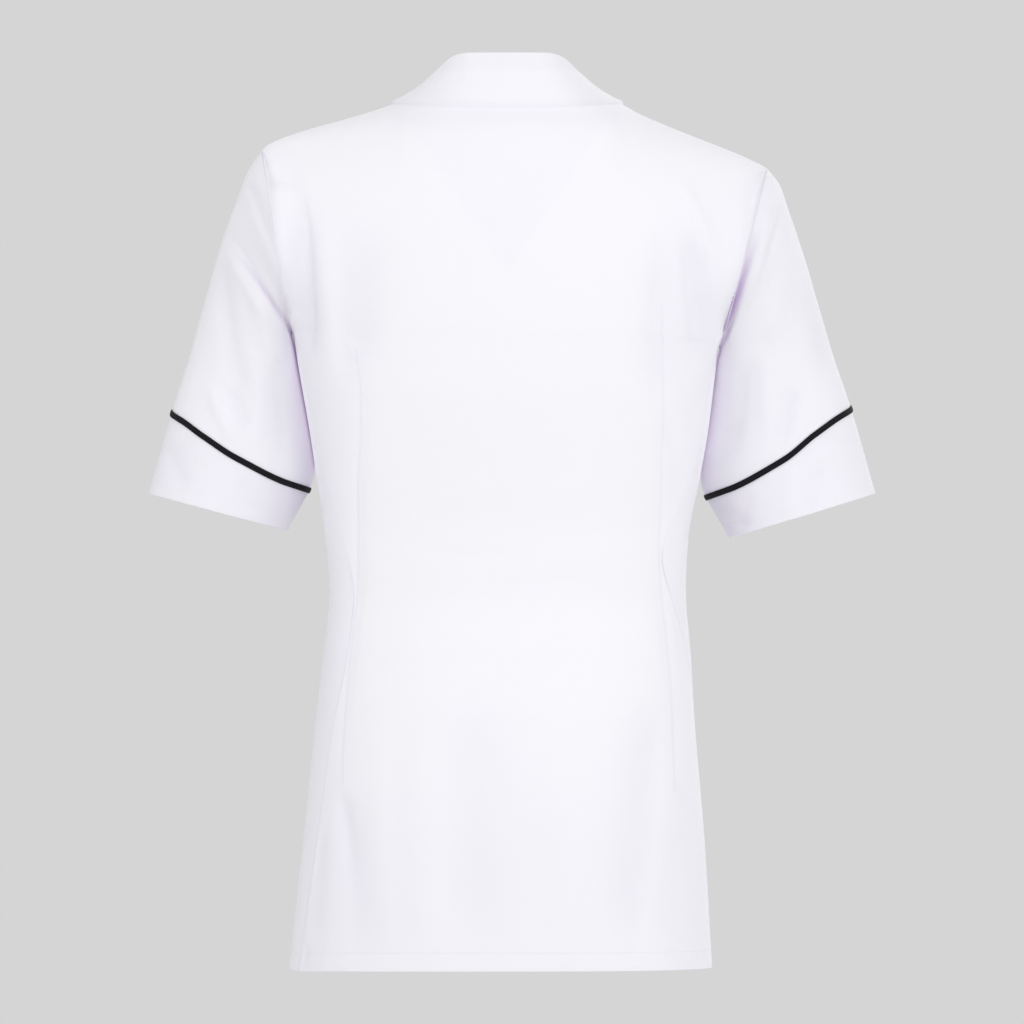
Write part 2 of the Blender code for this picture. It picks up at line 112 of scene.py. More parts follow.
corner = np.linspace(0, 2 * math.pi, FLOOR["corners"] + 1)[:-1]
rim = np.stack([FLOOR["radius"] * np.cos(corner), FLOOR["radius"] * np.sin(corner),
                np.full(len(corner), FLOOR["height"])], axis=-1)
floor_mesh = bpy.data.meshes.new("floor")
floor_mesh.from_pydata(rim.tolist(), [], [list(range(len(rim)))])
floor = bpy.data.objects.new("floor", floor_mesh)
bpy.context.scene.collection.objects.link(floor)
pale = bpy.data.materials.new("pale floor")
pale.use_nodes = True
pale_shader = pale.node_tree.nodes["Principled BSDF"]
pale_shader.inputs["Base Color"].default_value = (FLOOR["grey"],) * 3 + (1,)
pale_shader.inputs["Roughness"].default_value = 0.9
floor_mesh.materials.append(pale)
print(len(LAMPS), "lamps, floor at", FLOOR["height"], "m")

# %% [markdown]
# ## The cut
#
# A maker's measurements come first: the CAD's, but for the cuffs' seams, which a closer look put a little
# higher. The trunk is an oval at each height, with its own half-width on each side and its own depth at
# back and front. The sleeves are a row of slanted oval rings from the armhole to the hem, each between a
# place under the arm and a place over it.

# %% Measurements, in millimetres unless they say otherwise
WALL = 1.1 * MM
CAD_WALL = 1.5 * MM
LAP_GAP = 1.0 * MM
ROUNDNESS = 2.3
TRUNK = {
    "height": [-690, -588, -492, -440, -388, -348, -300, -260, -220, -180],
    "left":   [ 174,  163,  153,  147,  142,  145,  152,  158,  165,  172],
    "right":  [ 164,  158,  150,  147,  143,  145,  154,  161,  166,  171],
    "back":   [ 112,  111,  103,   91,   80,   80,   85,   90,   94,   95],
    "front":  [ 112,  106,   99,   92,   89,   93,  105,  116,  121,  119],
}
# How far each side seam lies towards the back, in degrees round the section
SEAM = {
    "height": [-690, -620, -551, -504, -442, -400, -359, -300, -240, -196, -180],
    "left":   [  19,   22,   25,   27,   32,   33,   30,   20,    8,    0,    0],
    "right":  [ -12,   -8,   -4,    0,   13,   24,   33,   21,    8,    0,    0],
}
HEM = {"back": -686 * MM, "front": -688 * MM, "side": -690 * MM}
NECK_HALF_WIDTH = 93 * MM
BACK_NECK = {"depth": 68 * MM, "drop": 6 * MM}
V_NECK = {"depth": 116.5 * MM, "drop": 146 * MM}
NECK_SHARE = 0.328
CORNER_SOFTNESS = 0.5
SHOULDER = {
    "along": [0.0, 0.12, 0.25, 0.40, 0.60, 0.80, 0.95, 1.0],
    "left":  [  0,  4.3,  8.4, 12.8, 18.4,   25, 31.5,  36],
    "right": [  0,  7.7, 14.2, 21.3, 30.3, 39.5, 47.5,  51],
}
OVERLAP = 15 * MM
COLLAR_EDGE = {
    "along":  [0.0, 0.30, 0.45, 0.55, 0.68, 0.84, 0.95, 1.0],
    "side":   [0.0,   30,   40, 46.5,   57, 72.5, 86.5,  92],
    "back":   [ 55,   52,   46,   39,   28,   13,    4,    0],
    "height": [38.5, 38.5, 37.5, 35,   26, 13.6,  5.5,  3.5],
}
SLEEVES = {
    "left": {
        "in_side":  [ 172, 172.5, 168.5, 163.8, 158.3, 154.2, 155,  176],
        "in_drop":  [-182, -185, -199, -221, -250, -276, -296, -340],
        "out_side": [ 196,  207,  217,  229,  242,  255,  268,  288],
        "out_drop": [ -36,  -52,  -76, -108, -152, -198, -240, -310],
        "depth":    [  55,   56,   56,   56,   55,   54,   53,   51],
        "forward":  [   0,    8,   18,   28,   35,   38,   36,   31],
    },
    "right": {
        "in_side":  [ 170, 170.3, 167.2, 163.9, 159.3, 155.2, 156,  178],
        "in_drop":  [-193, -196, -210, -230, -257, -281, -302, -346],
        "out_side": [ 208,  218,  226,  238,  251,  264,  277,  296],
        "out_drop": [ -51,  -63,  -84, -118, -160, -204, -243, -310],
        "depth":    [  55,   56,   56,   56,   55,   54,   53,   51],
        "forward":  [   0,    9,   18,   28,   35,   38,   36,   31],
    },
}
CUFF_DEPTH = {
    "turn":  [   0,   45,   90,  118,  145,  180],
    "left":  [37.8, 38.8, 47.1, 56.4, 64.4,   69],
    "right": [38.5, 39.4, 48.5, 60.8, 68.4, 72.5],
}
# How far the armhole's front edge lies from its ellipse, towards the centre
FRONT_BOW = -4.0 * MM
PIPING = {"width": 3.7 * MM, "wall": 0.9 * MM, "lift": 0.38 * MM}
SIGN = {"left": 1.0, "right": -1.0}

# How finely each piece is divided
NECK_COLUMNS, SHOULDER_COLUMNS = 28, 60
TRUNK_ROWS, ARMHOLE_ROWS = 150, 60
SLEEVE_ROWS, CUFF_ROWS, COLLAR_ROWS, LAP_COLUMNS = 90, 32, 22, 8


def through(places, values, at):
    """A smooth curve through the values at those places: cubic pieces, level wherever they turn back."""
    places = np.asarray(places, float)
    values = np.asarray(values, float)
    rise = np.diff(values) / np.diff(places)
    product = rise[:-1] * rise[1:]
    total = np.where(product > 0, rise[:-1] + rise[1:], 1)
    inner = np.where(product > 0, 2 * product / total, 0)
    slopes = np.concatenate([rise[:1], inner, rise[-1:]])
    at = np.clip(at, places[0], places[-1])
    left = np.clip(np.searchsorted(places, at, side="right") - 1, 0, len(places) - 2)
    span = places[left + 1] - places[left]
    u = (at - places[left]) / span
    start = values[left] * (1 + 2 * u) * (1 - u) ** 2 + slopes[left] * span * u * (1 - u) ** 2
    end = values[left + 1] * u ** 2 * (3 - 2 * u) + slopes[left + 1] * span * u ** 2 * (u - 1)
    return start + end


def smooth_step(x):
    """Rises from 0 to 1 as x does, level at both ends: 3 x squared less 2 x cubed."""
    x = np.clip(x, 0, 1)
    return x * x * (3 - 2 * x)


def unit(vectors):
    """The same directions, each with length 1."""
    return vectors / np.maximum(np.linalg.norm(vectors, axis=-1, keepdims=True), 1e-12)


print("cut for a waist", round(2 * 142.5), "mm wide and a back", 685, "mm long")

# %% [markdown]
# ## The trunk's surface
#
# The back and the fronts are one surface cut into panels, so that a seam's two edges are the same points.
# Below the armhole a point comes from its height and its share of the way to the side seam. Above it, each
# column of points runs on to the neck or the shoulder seam, rounding over at the top like a quarter of an
# ellipse, while the outermost column swings out into the armhole's ring.

# %% The sleeve's rings and the trunk's panels
SETTLE_REACH = 16 * MM


def sleeve_ring(side, along, turn):
    """Rings of a sleeve. Each is an ellipse between the places under and over the arm, as deep as its row
    says: centre - cos(turn) x half its height + sin(turn) x its depth. Turn 90 is at the back."""
    table = SLEEVES[side]
    rows = np.linspace(0, 1, len(table["depth"]))
    value = {name: through(rows, numbers, along)[:, None] * MM for name, numbers in table.items()}
    turn = np.radians(turn)[None, :]
    over, across = -np.cos(turn), np.sin(turn)
    x = (value["in_side"] + value["out_side"]) / 2 + (value["out_side"] - value["in_side"]) / 2 * over
    z = (value["in_drop"] + value["out_drop"]) / 2 + (value["out_drop"] - value["in_drop"]) / 2 * over
    y = value["depth"] * across - value["forward"]
    bow = FRONT_BOW * np.maximum(-across, 0) * (1 - along[:, None]) ** 6
    return np.stack([SIGN[side] * (x + bow), y, z], axis=-1)


def width_share(s):
    """How far out a column lies at the armhole's foot: 0 at the centre and 1 at the side."""
    return np.sin(s * np.pi / 2) ** (2 / ROUNDNESS)


def below_armhole(side, face, s, rise):
    """The trunk from the hem (rise 0) to the armhole's foot (rise 1): at each height a superellipse,
    |x / half-width| and |y / depth| raised to the roundness adding up to 1."""
    foot = SLEEVES[side]["in_drop"][0] * MM
    other = SLEEVES["right" if side == "left" else "left"]["in_drop"][0] * MM
    middle = (foot + other) / 2
    hem = HEM[face] + (HEM["side"] - HEM[face]) * s ** 2
    top = middle + (foot - middle) * s
    z = hem + (top - hem) * rise[:, None]
    seam = np.radians(through(SEAM["height"], SEAM[side], z / MM))
    sign = 1 if face == "back" else -1
    angle = sign * np.pi / 2 - s * (sign * np.pi / 2 - seam)
    power = 2 / ROUNDNESS
    size = {name: through(TRUNK["height"], TRUNK[name], z / MM) * MM for name in (side, "back", "front")}
    depth = np.where(angle > 0, size["back"], size["front"])
    x = size[side] * np.clip(np.cos(angle), 0, 1) ** power
    y = np.sign(angle) * depth * np.abs(np.sin(angle)) ** power
    return x, y, z


def top_edge(side, face, s, soft):
    """A panel's upper edge: the neck from the centre to the shoulder, then the shoulder seam. Soft rounds
    the corner between them off, so that the rows below run on smoothly. At 0 the corner is sharp."""
    neck_end = width_share(np.float64(NECK_SHARE))
    share = width_share(s) / neck_end
    gap = 1 - share
    neck = np.maximum(1 - (gap + np.hypot(gap, soft)) / (1 + np.hypot(1, soft)), 0)
    shoulder = np.clip((np.hypot(gap, soft) - gap) / 2 / (1 / neck_end - 1), 0, 1)
    tip = SLEEVES[side]["out_side"][0] * MM
    past_neck = np.maximum(share - 1, 0) / (1 / neck_end - 1)
    x = NECK_HALF_WIDTH * np.minimum(share, 1) + (tip - NECK_HALF_WIDTH) * past_neck
    fall = -through(SHOULDER["along"], SHOULDER[side], shoulder) * MM
    if face == "back":
        y = BACK_NECK["depth"] * (1 - neck ** 2.4) ** 0.6
        return x, y, fall - BACK_NECK["drop"] * (1 - neck ** 2), neck
    y = -V_NECK["depth"] * (1 - neck ** 2.2) ** 0.6
    return x, y, fall - V_NECK["drop"] * (1 - neck), neck


def settled(sheet, s):
    """Eases the bend where the columns leave the trunk's side for the armhole: near the armhole's foot each
    point moves to the mean of its own column, weighted by a bell 16 mm wide. The seam itself stays."""
    steps = np.linalg.norm(np.diff(sheet, axis=0), axis=-1)
    run = np.vstack([np.zeros(len(s)), np.cumsum(steps, axis=0)])
    rows = slice(TRUNK_ROWS - 30, TRUNK_ROWS + 45)
    weight = np.exp(-((run[rows, None] - run[None]) / SETTLE_REACH) ** 2 / 2) * np.gradient(run, axis=0)
    mean = (weight[..., None] * sheet).sum(axis=1) / weight.sum(axis=1)[..., None]
    near = np.exp(-((run[rows] - run[TRUNK_ROWS]) / (2.2 * SETTLE_REACH)) ** 4)
    share = (near * smooth_step((1 - s) / 0.1))[..., None]
    eased = sheet.copy()
    eased[rows] = sheet[rows] * (1 - share) + mean * share
    return eased


def panel(side, face, s, lap, rise, turn):
    """Half of the back, or one front, as rows from the hem up x columns x 3. Lap is 1 at a front's free edge."""
    low = below_armhole(side, face, s, rise)
    foot = [part[-1] for part in low]
    t = (1 - np.cos(np.radians(turn)))[:, None] / 2
    soft = CORNER_SOFTNESS * (1 - t) ** 0.6 * (1 - smooth_step((s - NECK_SHARE) / 0.4))
    end_x, end_y, end_z, neck = top_edge(side, face, s, soft)
    round_over = 1 + smooth_step(neck ** 2)
    centre_rise = end_z - foot[2]
    end_z = end_z - lap * OVERLAP * V_NECK["drop"] / NECK_HALF_WIDTH
    reach = (end_z - foot[2]) / centre_rise
    facing = 1 if face == "back" else -1
    ring = sleeve_ring(side, np.zeros(1), (facing * turn) % 360)[0]
    pull = s ** 4
    straight = foot[0][-1] + (end_x[-1] - foot[0][-1]) * t
    x = foot[0] + (end_x - foot[0]) * t + (SIGN[side] * ring[:, None, 0] - straight) * pull
    curve = (1 - (t * reach) ** 2) ** (1 / round_over)
    ease = (4 * t * (1 - t)) ** (1.2 * np.minimum((1 - s) / 0.3, 1))
    y = end_y + (foot[1] - end_y) * curve + ring[:, None, 1] * pull * ease
    z = foot[2] + (end_z - foot[2]) * t
    x = np.vstack([low[0][:-1], x]) - lap * OVERLAP
    points = np.stack([SIGN[side] * x, np.vstack([low[1][:-1], y]), np.vstack([low[2][:-1], z])], axis=-1)
    return settled(points, s)


def sleeve_between(side, start, end, rows, turn):
    """Rings between two distances above the sleeve's hem, measured along the cloth at each turn.
    With no start they begin at the armhole, where they lie closer together."""
    along = np.linspace(0, 1, 241)
    rings = sleeve_ring(side, along, turn)
    run = np.cumsum(np.linalg.norm(np.diff(rings, axis=0), axis=-1), axis=0)
    above_hem = run[-1] - np.vstack([np.zeros(len(turn)), run])
    first = above_hem[0] if start is None else start
    wanted = np.linspace(0, 1, rows + 1)[:, None] ** (1.5 if start is None else 1)
    heights = first + (end - first) * wanted
    spot = (above_hem[None] > heights[:, None] + 1e-9).sum(axis=1)
    spot = np.clip(spot, 1, len(along) - 1)
    high = np.take_along_axis(above_hem, spot - 1, 0)
    low = np.take_along_axis(above_hem, spot, 0)
    part = np.clip((high - heights) / np.maximum(high - low, 1e-9), 0, 1)[..., None]
    column = np.arange(len(turn))
    return rings[spot - 1, column] * (1 - part) + rings[spot, column] * part


neck_columns = np.linspace(0, NECK_SHARE, NECK_COLUMNS + 1)
side_columns = np.concatenate([neck_columns, np.linspace(NECK_SHARE, 1, SHOULDER_COLUMNS + 1)[1:]])
lap_share = np.concatenate([np.linspace(1, 0, LAP_COLUMNS + 1)[:-1], np.zeros(len(side_columns))])
front_columns = np.concatenate([np.zeros(LAP_COLUMNS), side_columns])
hem_to_foot = np.linspace(0, 1, TRUNK_ROWS + 1)
foot_to_shoulder = np.linspace(0, 180, ARMHOLE_ROWS + 1)
round_sleeve = np.linspace(0, 360, 2 * ARMHOLE_ROWS + 1)[:-1]

halves = {
    side: panel(side, "back", side_columns, 0 * side_columns, hem_to_foot, foot_to_shoulder) for side in SIGN
}
sheets = {"back": np.concatenate([halves["right"][:, :0:-1], halves["left"]], axis=1)[:, ::-1]}
for side in SIGN:
    front = panel(side, "front", front_columns, lap_share, hem_to_foot, foot_to_shoulder)
    sheets["front_" + side] = front if side == "left" else front[:, ::-1]
print("trunk panels:", {name: sheet.shape[:2] for name, sheet in sheets.items()})

# %% [markdown]
# ## Collar, sleeves, cuffs and piping
#
# The stand rises from the back's own neck line to its own edge, and its upper part rolls inwards a
# little, which is the soft crease that shows below its edge. The cuff's seam is a height above the hem
# that grows from under the arm to over it. The piping is a strip of the cuff's own surface, lifted.

# %% Collar and sleeves
COLLAR_ROLL = 1.6 * MM


def collar_from(neck_line):
    """Straight lines from the neck line to the collar's edge, bowed in towards the neck near the edge."""
    across = neck_line[:, 0] / NECK_HALF_WIDTH
    edge = [through(COLLAR_EDGE["along"], COLLAR_EDGE[name], np.abs(across)) * MM for name in
            ("side", "back", "height")]
    edge = np.stack([np.sign(across) * edge[0], edge[1], edge[2]], axis=-1)
    rise = np.linspace(0, 1, COLLAR_ROWS + 1)[:, None, None]
    tall = np.clip(edge[:, 2:] / (38 * MM), 0, 1)
    inward = unit(np.stack([-across, -np.ones_like(across), 0 * across], axis=-1))
    roll = smooth_step((rise - 0.55) / 0.45) ** 2 * COLLAR_ROLL * tall
    return neck_line + (edge - neck_line) * rise + inward * roll


def cuff_depth(side, turn):
    """The cuff's depth round the sleeve: least under the arm, most over it, and the same back and front."""
    return through(CUFF_DEPTH["turn"], CUFF_DEPTH[side], 180 - np.abs(turn - 180)) * MM


middle = sheets["back"].shape[1] // 2
sheets["collar"] = collar_from(sheets["back"][-1, middle - NECK_COLUMNS:middle + NECK_COLUMNS + 1])
for side in SIGN:
    seam = cuff_depth(side, round_sleeve)
    order = slice(None) if side == "left" else slice(None, None, -1)
    sheets["sleeve_" + side] = sleeve_between(side, None, seam, SLEEVE_ROWS, round_sleeve)[:, order]
    sheets["cuff_" + side] = sleeve_between(side, seam, 0 * seam, CUFF_ROWS, round_sleeve)[:, order]
    strip = sleeve_between(side, seam + 0.3 * MM, seam - PIPING["width"], 6, round_sleeve)
    sheets["piping_" + side] = strip[:, order]
closed = {name: not name.startswith(("back", "front", "collar")) for name in sheets}
print("cuff seam:", {side: np.round(cuff_depth(side, np.array([0, 90, 180])) / MM).tolist() for side in SIGN})

# %% [markdown]
# ## Folds
#
# Cloth hangs from the shoulder blades and is drawn in at the waist, so its folds are soft troughs that
# start near the armholes and below the dart ends, and short drags where a seam pulls. Each is listed: it
# runs from one end through a middle point to the other, fades out towards both, and may be steeper on one
# side. A depth below 0 is a ridge. The photograph shows the back, and the front gets folds of the same kind.

# %% Fold tables, places in millimetres across and up
FOLD_PARTS = ("from", "via", "to", "deep", "wide", "lean")
FOLDS = {
    "back": [
        # the main forms, which the CAD has too
        ((163, -75), (160, -145), (156, -215), 3.5, 11, 0),
        ((146, -85), (147, -127), (148, -170), -2, 10, 0),
        ((112, -90), (115, -160), (118, -230), 3, 17, 0),
        ((-150, -100), (-153, -155), (-155, -215), 3.5, 12, 0),
        ((-120, -110), (-122, -180), (-124, -245), 2, 17, 0),
        ((30, -450), (27, -575), (22, -700), 2.2, 24, 0.2),
        ((-116, -460), (-106, -570), (-90, -700), 3, 18, -0.3),
        ((128, -540), (122, -615), (112, -700), 3, 14, 0.3),
        # the creases of the left shoulder blade and armhole
        ((168, -58), (157, -118), (157, -220), 2.6, 6, -0.4),
        ((194, -66), (179, -64), (162, -70), 2.2, 6, 0.3),
        ((186, -50), (174, -52), (160, -52), 1.1, 4, 0),
        ((147, -86), (143, -156), (144, -232), -1.8, 9, 0),
        ((176, -120), (168, -160), (150, -215), 0.9, 6, 0.2),
        ((132, -100), (128, -180), (126, -250), 1.2, 9, 0.3),
        # the creases of the right one
        ((-128, -56), (-155, -102), (-168, -170), -3.0, 5.5, 0.3),
        ((-142, -96), (-151, -145), (-155, -206), 2.6, 6.5, -0.3),
        ((-118, -90), (-119, -160), (-117, -245), 1.6, 9, 0),
        ((-172, -190), (-158, -225), (-140, -262), 0.9, 7, 0.2),
        # drags at the dart ends and across the waist
        ((130, -188), (124, -196), (119, -206), -0.7, 3.2, 0),
        ((-131, -142), (-126, -150), (-121, -160), 0.7, 3, 0),
        ((-126, -232), (-129, -290), (-139, -345), 1.2, 4.5, 0.4),
        ((-124, -352), (-134, -392), (-141, -440), 0.9, 4, -0.3),
        ((130, -543), (129, -575), (123, -630), 2.0, 5, 0.3),
        ((-118, -462), (-112, -570), (-98, -690), 1.4, 8, -0.3),
        ((104, -470), (101, -560), (97, -660), -1.2, 10, 0),
        ((72, -352), (28, -360), (-22, -352), 0.5, 5, 0.3),
        ((20, -374), (-30, -380), (-84, -370), 0.45, 5, -0.3),
        ((-133, -540), (-138, -549), (-145, -560), 1.0, 3.5, 0),
        ((-133, -548), (-130, -600), (-124, -680), 1.0, 9, 0.2),
        # soft drapes of the lower back
        ((70, -480), (68, -590), (62, -700), -1.8, 16, 0),
        ((-40, -470), (-44, -590), (-52, -700), -2.0, 18, 0),
        ((148, -560), (150, -620), (156, -700), 1.2, 6, 0.3),
        ((158, -664), (160, -678), (161, -694), 0.8, 3, 0),
    ],
    "front": [
        ((105, -120), (118, -195), (128, -270), 5.4, 16, 0),
        ((-108, -130), (-120, -205), (-130, -275), 5.4, 16, 0),
        ((82, -430), (88, -560), (92, -700), 5.4, 20, 0.2),
        ((-80, -430), (-88, -560), (-96, -700), 5.4, 20, -0.2),
        ((160, -70), (156, -110), (146, -170), 3.2, 7, 0.3),
        ((-166, -86), (-160, -128), (-148, -184), 3.2, 7, 0.3),
        ((142, -188), (118, -206), (96, -226), 2.6, 7, 0.2),
        ((-142, -196), (-118, -214), (-96, -232), 2.6, 7, 0.2),
        ((40, -360), (70, -352), (104, -356), 1.8, 5, 0),
        ((-44, -372), (-72, -362), (-104, -366), 1.8, 5, 0),
        ((18, -420), (26, -540), (22, -680), 2.2, 9, 0.3),
    ],
    "sleeve_left back": [
        ((225, -98), (200, -137), (166, -192), 1.6, 2.8, 0),
        ((220, -94), (196, -132), (162, -188), 1.4, 8, 0.3),
        ((230, -112), (207, -146), (180, -192), -1.5, 5, 0),
        ((210, -56), (198, -86), (186, -122), 1.9, 5, 0.3),
        ((204, -140), (192, -180), (178, -238), -2.2, 8, 0),
        ((240, -218), (227, -252), (214, -272), -2.2, 5, 0),
        ((224, -222), (213, -248), (204, -266), 3.0, 5, 0.3),
        ((199, -190), (198, -236), (196, -272), -2.4, 7, 0),
        ((184, -196), (180, -240), (176, -290), 2.8, 8, 0.3),
        ((228, -112), (222, -180), (204, -258), 2.8, 8, 0),
    ],
    "sleeve_right back": [
        ((-203, -98), (-188, -138), (-165, -206), 4.2, 5.5, -0.4),
        ((-212, -76), (-204, -118), (-180, -180), -2.8, 5.5, 0),
        ((-221, -74), (-214, -102), (-204, -132), 2.4, 4.5, -0.3),
        ((-222, -134), (-214, -162), (-204, -196), -2.8, 9, 0),
        ((-204, -190), (-206, -230), (-208, -270), -2.2, 6, 0),
        ((-233, -224), (-226, -250), (-217, -278), 3.2, 6, -0.3),
        ((-192, -200), (-186, -246), (-180, -290), 2.2, 8, -0.3),
        ((-168, -262), (-178, -261), (-190, -259), 0.8, 3, 0),
        ((-172, -272), (-182, -272), (-194, -268), -0.7, 3, 0),
        ((-245, -130), (-250, -175), (-258, -220), 2.4, 9, 0),
    ],
    "sleeve_left front": [
        ((214, -96), (200, -140), (182, -190), 2.4, 7, 0.3),
        ((226, -180), (218, -232), (206, -276), 1.5, 8, 0.2),
    ],
    "sleeve_right front": [
        ((-222, -106), (-208, -150), (-188, -200), 2.4, 7, -0.3),
        ((-232, -186), (-224, -236), (-212, -280), 1.5, 8, -0.2),
    ],
    "cuff_left back": [
        ((274, -268), (266, -290), (258, -312), 2.0, 8, 0.2),
        ((214, -296), (208, -312), (203, -328), 0.8, 7, 0),
    ],
    "cuff_right back": [
        ((-254, -284), (-246, -308), (-237, -334), 1.9, 7, -0.2),
        ((-226, -288), (-224, -312), (-222, -336), -1.4, 7, 0),
        ((-196, -306), (-190, -326), (-186, -346), 1.2, 5, 0),
        ((-168, -322), (-180, -328), (-194, -338), 1.2, 4, 0.2),
        ((-172, -334), (-184, -336), (-200, -334), 1.0, 3, 0),
    ],
    "collar": [
        ((46, 29), (2, 24.5), (-46, 29), 0.5, 2.2, 0.3),
    ],
}


def fold_depth(place, fold):
    """Depth of one fold: full on a curve through its three points, fading to nothing at both ends, and as
    the square of the distance over its width falls off to the sides. A lean makes one side steeper."""
    start, via, end = (np.array(fold[name], float) for name in ("from", "via", "to"))
    pull = 2 * via - (start + end) / 2
    u = np.linspace(0, 1, 33)[:, None]
    line = (1 - u) ** 2 * start + 2 * u * (1 - u) * pull + u ** 2 * end
    gap = place[..., None, :] - line
    distance = np.linalg.norm(gap, axis=-1)
    nearest = distance.argmin(axis=-1)
    offset = np.take_along_axis(gap, nearest[..., None, None], axis=-2)[..., 0, :]
    heading = unit(np.gradient(line, axis=0))[nearest]
    away = heading[..., 0] * offset[..., 1] - heading[..., 1] * offset[..., 0]
    width = fold["wide"] * (1 - fold["lean"] * np.sign(away))
    ends = smooth_step(np.minimum(nearest, 32 - nearest) / 10)
    return fold["deep"] * ends * np.exp(-(distance.min(axis=-1) / width) ** 2)


def folds_of(name, points):
    """All the folds of one piece, summed. A sleeve's or cuff's are masked to its back or front half."""
    place = points[..., [0, 2]] / MM
    total = np.zeros(points.shape[:2])
    for on, rows in FOLDS.items():
        target, _, face = on.partition(" ")
        if target not in (name, name.split("_")[0]):
            continue
        mask = 1.0
        if face:
            centre = (points[..., 1].max(axis=1) + points[..., 1].min(axis=1))[:, None] / 2
            sign = 1 if face == "back" else -1
            mask = smooth_step(sign * (points[..., 1] - centre) / (25 * MM) + 0.2)
        for row in rows:
            total += fold_depth(place, dict(zip(FOLD_PARTS, row))) * mask
    return total


print(sum(len(rows) for rows in FOLDS.values()), "folds")

# %% [markdown]
# ## From surface to shell
#
# Seams stay closed only if two panels sink and turn together along them, so the outward direction of every
# point is averaged over all the panels that share it, and no fold reaches quite to a seam. Three measures
# are kept for the materials later, as attributes of the mesh: how far each point lies from the nearest line
# of sewing, how much lilac painted shade it takes in a hollow, where white cloth would light white cloth,
# and how much painted light, an emission standing in for light through the cloth, it gives there.

# %% Outward directions, measures along the cloth, and the folded sheets
def cells_of(sheet, is_closed):
    """The four corners of every cell of a grid, as row and column numbers. A closed grid's last column is
    numbered once more, past the end, so that a pattern can run on across the join."""
    rows, columns = sheet.shape[:2]
    row, col = np.meshgrid(np.arange(rows - 1), np.arange(columns if is_closed else columns - 1), indexing="ij")
    corner_rows = np.stack([row, row, row + 1, row + 1], -1).reshape(-1, 4)
    corner_cols = np.stack([col, col + 1, col + 1, col], -1).reshape(-1, 4)
    return corner_rows, corner_cols


def shared_normals(names):
    """Unit normals of each named sheet, the mean over every cell of any of them that meets the point."""
    points = np.concatenate([sheets[name].reshape(-1, 3) for name in names])
    _, place = np.unique(np.round(points, 6), axis=0, return_inverse=True)
    place = place.reshape(-1)
    total = np.zeros((place.max() + 1, 3))
    first = 0
    for name in names:
        columns = sheets[name].shape[1]
        row, col = cells_of(sheets[name], closed[name])
        index = first + row * columns + col % columns
        corners = points[index]
        normal = unit(np.cross(corners[:, 2] - corners[:, 0], corners[:, 3] - corners[:, 1]))
        for k in range(4):
            np.add.at(total, place[index[:, k]], normal)
        first += sheets[name].shape[0] * columns
    split = np.cumsum([sheets[name].shape[0] * sheets[name].shape[1] for name in names])[:-1]
    return {n: part.reshape(sheets[n].shape) for n, part in zip(names, np.split(unit(total)[place], split))}


def run_along(sheet, axis, is_closed=False):
    """Distance along the cloth from the first row (axis 0) or column (axis 1), in metres."""
    if is_closed:
        sheet = np.concatenate([sheet, sheet[:, :1]], axis=1)
    steps = np.linalg.norm(np.diff(sheet, axis=axis), axis=-1)
    zero = np.zeros_like(np.take(steps, [0], axis=axis))
    return np.concatenate([zero, np.cumsum(steps, axis=axis)], axis=axis)


plain = {name: shared_normals([name])[name] for name in sheets}
depth = {}
for name in list(sheets):
    if name.startswith("piping"):
        continue
    depth[name] = folds_of(name, sheets[name])
    up, across = run_along(sheets[name], 0), run_along(sheets[name], 1)
    edge = np.full(up.shape, 1.0)
    if not name.startswith("cuff"):
        edge = np.minimum(edge, up[-1] - up)
    if not name.startswith(("back", "front")):
        edge = np.minimum(edge, up)
    if not closed[name]:
        sides = np.minimum(across, across[:, -1:] - across) if name in ("back", "collar") else (
            across[:, -1:] - across if name == "front_left" else across)
        edge = np.minimum(edge, sides)
    depth[name] *= smooth_step(edge / (7 * MM))
    sheets[name] = sheets[name] - plain[name] * depth[name][..., None] * MM
cloth_names = [name for name in sheets if not name.startswith("piping")]
normals = shared_normals(cloth_names)
print("deepest fold:", round(max(d.max() for d in depth.values()), 1), "mm")

# %% [markdown]
# ## Darts
#
# A fish-eye dart is a long fold stitched shut on the inside: outside it shows as one fine line where the
# cloth turns in, sharpest at the waist and dying away in a small pucker at each end. The two darts are
# given as places down the back. Near them the cloth is drawn in a little, and the distance to the line
# goes to the sewing attribute, so that the material can cut a groove finer than the mesh.

# %% The two darts, and what else is sewn
DARTS = {
    "left":  {"height": [-541, -522, -492, -460, -418, -388, -344, -300, -268, -236, -196],
              "across": [130, 130, 128.5, 126, 122, 118.5, 118, 118, 116, 115.5, 120]},
    "right": {"height": [-546, -520, -468, -430, -384, -350, -316, -280, -240, -205, -161],
              "across": [-133, -132, -130, -127, -122, -120.5, -122, -122.5, -124, -123, -122.5]},
}
DART_TROUGH = {"deep": 1.3, "wide": 5}
# In millimetres: what is added at the neck's seam to soften it and along a side seam to fade it, and a
# distance that means no seam is near
SOFT_NECK, SIDE_FADE, FAR = 1.2, 3.5, 99
# The hem's stitching draws the cloth into small ripples: two waves of different lengths, multiplied
RIPPLE = {"deep": 0.16, "above_edge": 13, "wide": 6, "short_wave": 0.52, "long_wave": 0.131}


def dart_distance(place, side):
    """How far a place on the back lies across from a dart's line and past its ends, in millimetres."""
    dart = DARTS[side]
    across = place[..., 0] - through(dart["height"], dart["across"], place[..., 1])
    beyond = np.maximum(np.maximum(place[..., 1] - dart["height"][-1], dart["height"][0] - place[..., 1]), 0)
    return across, beyond


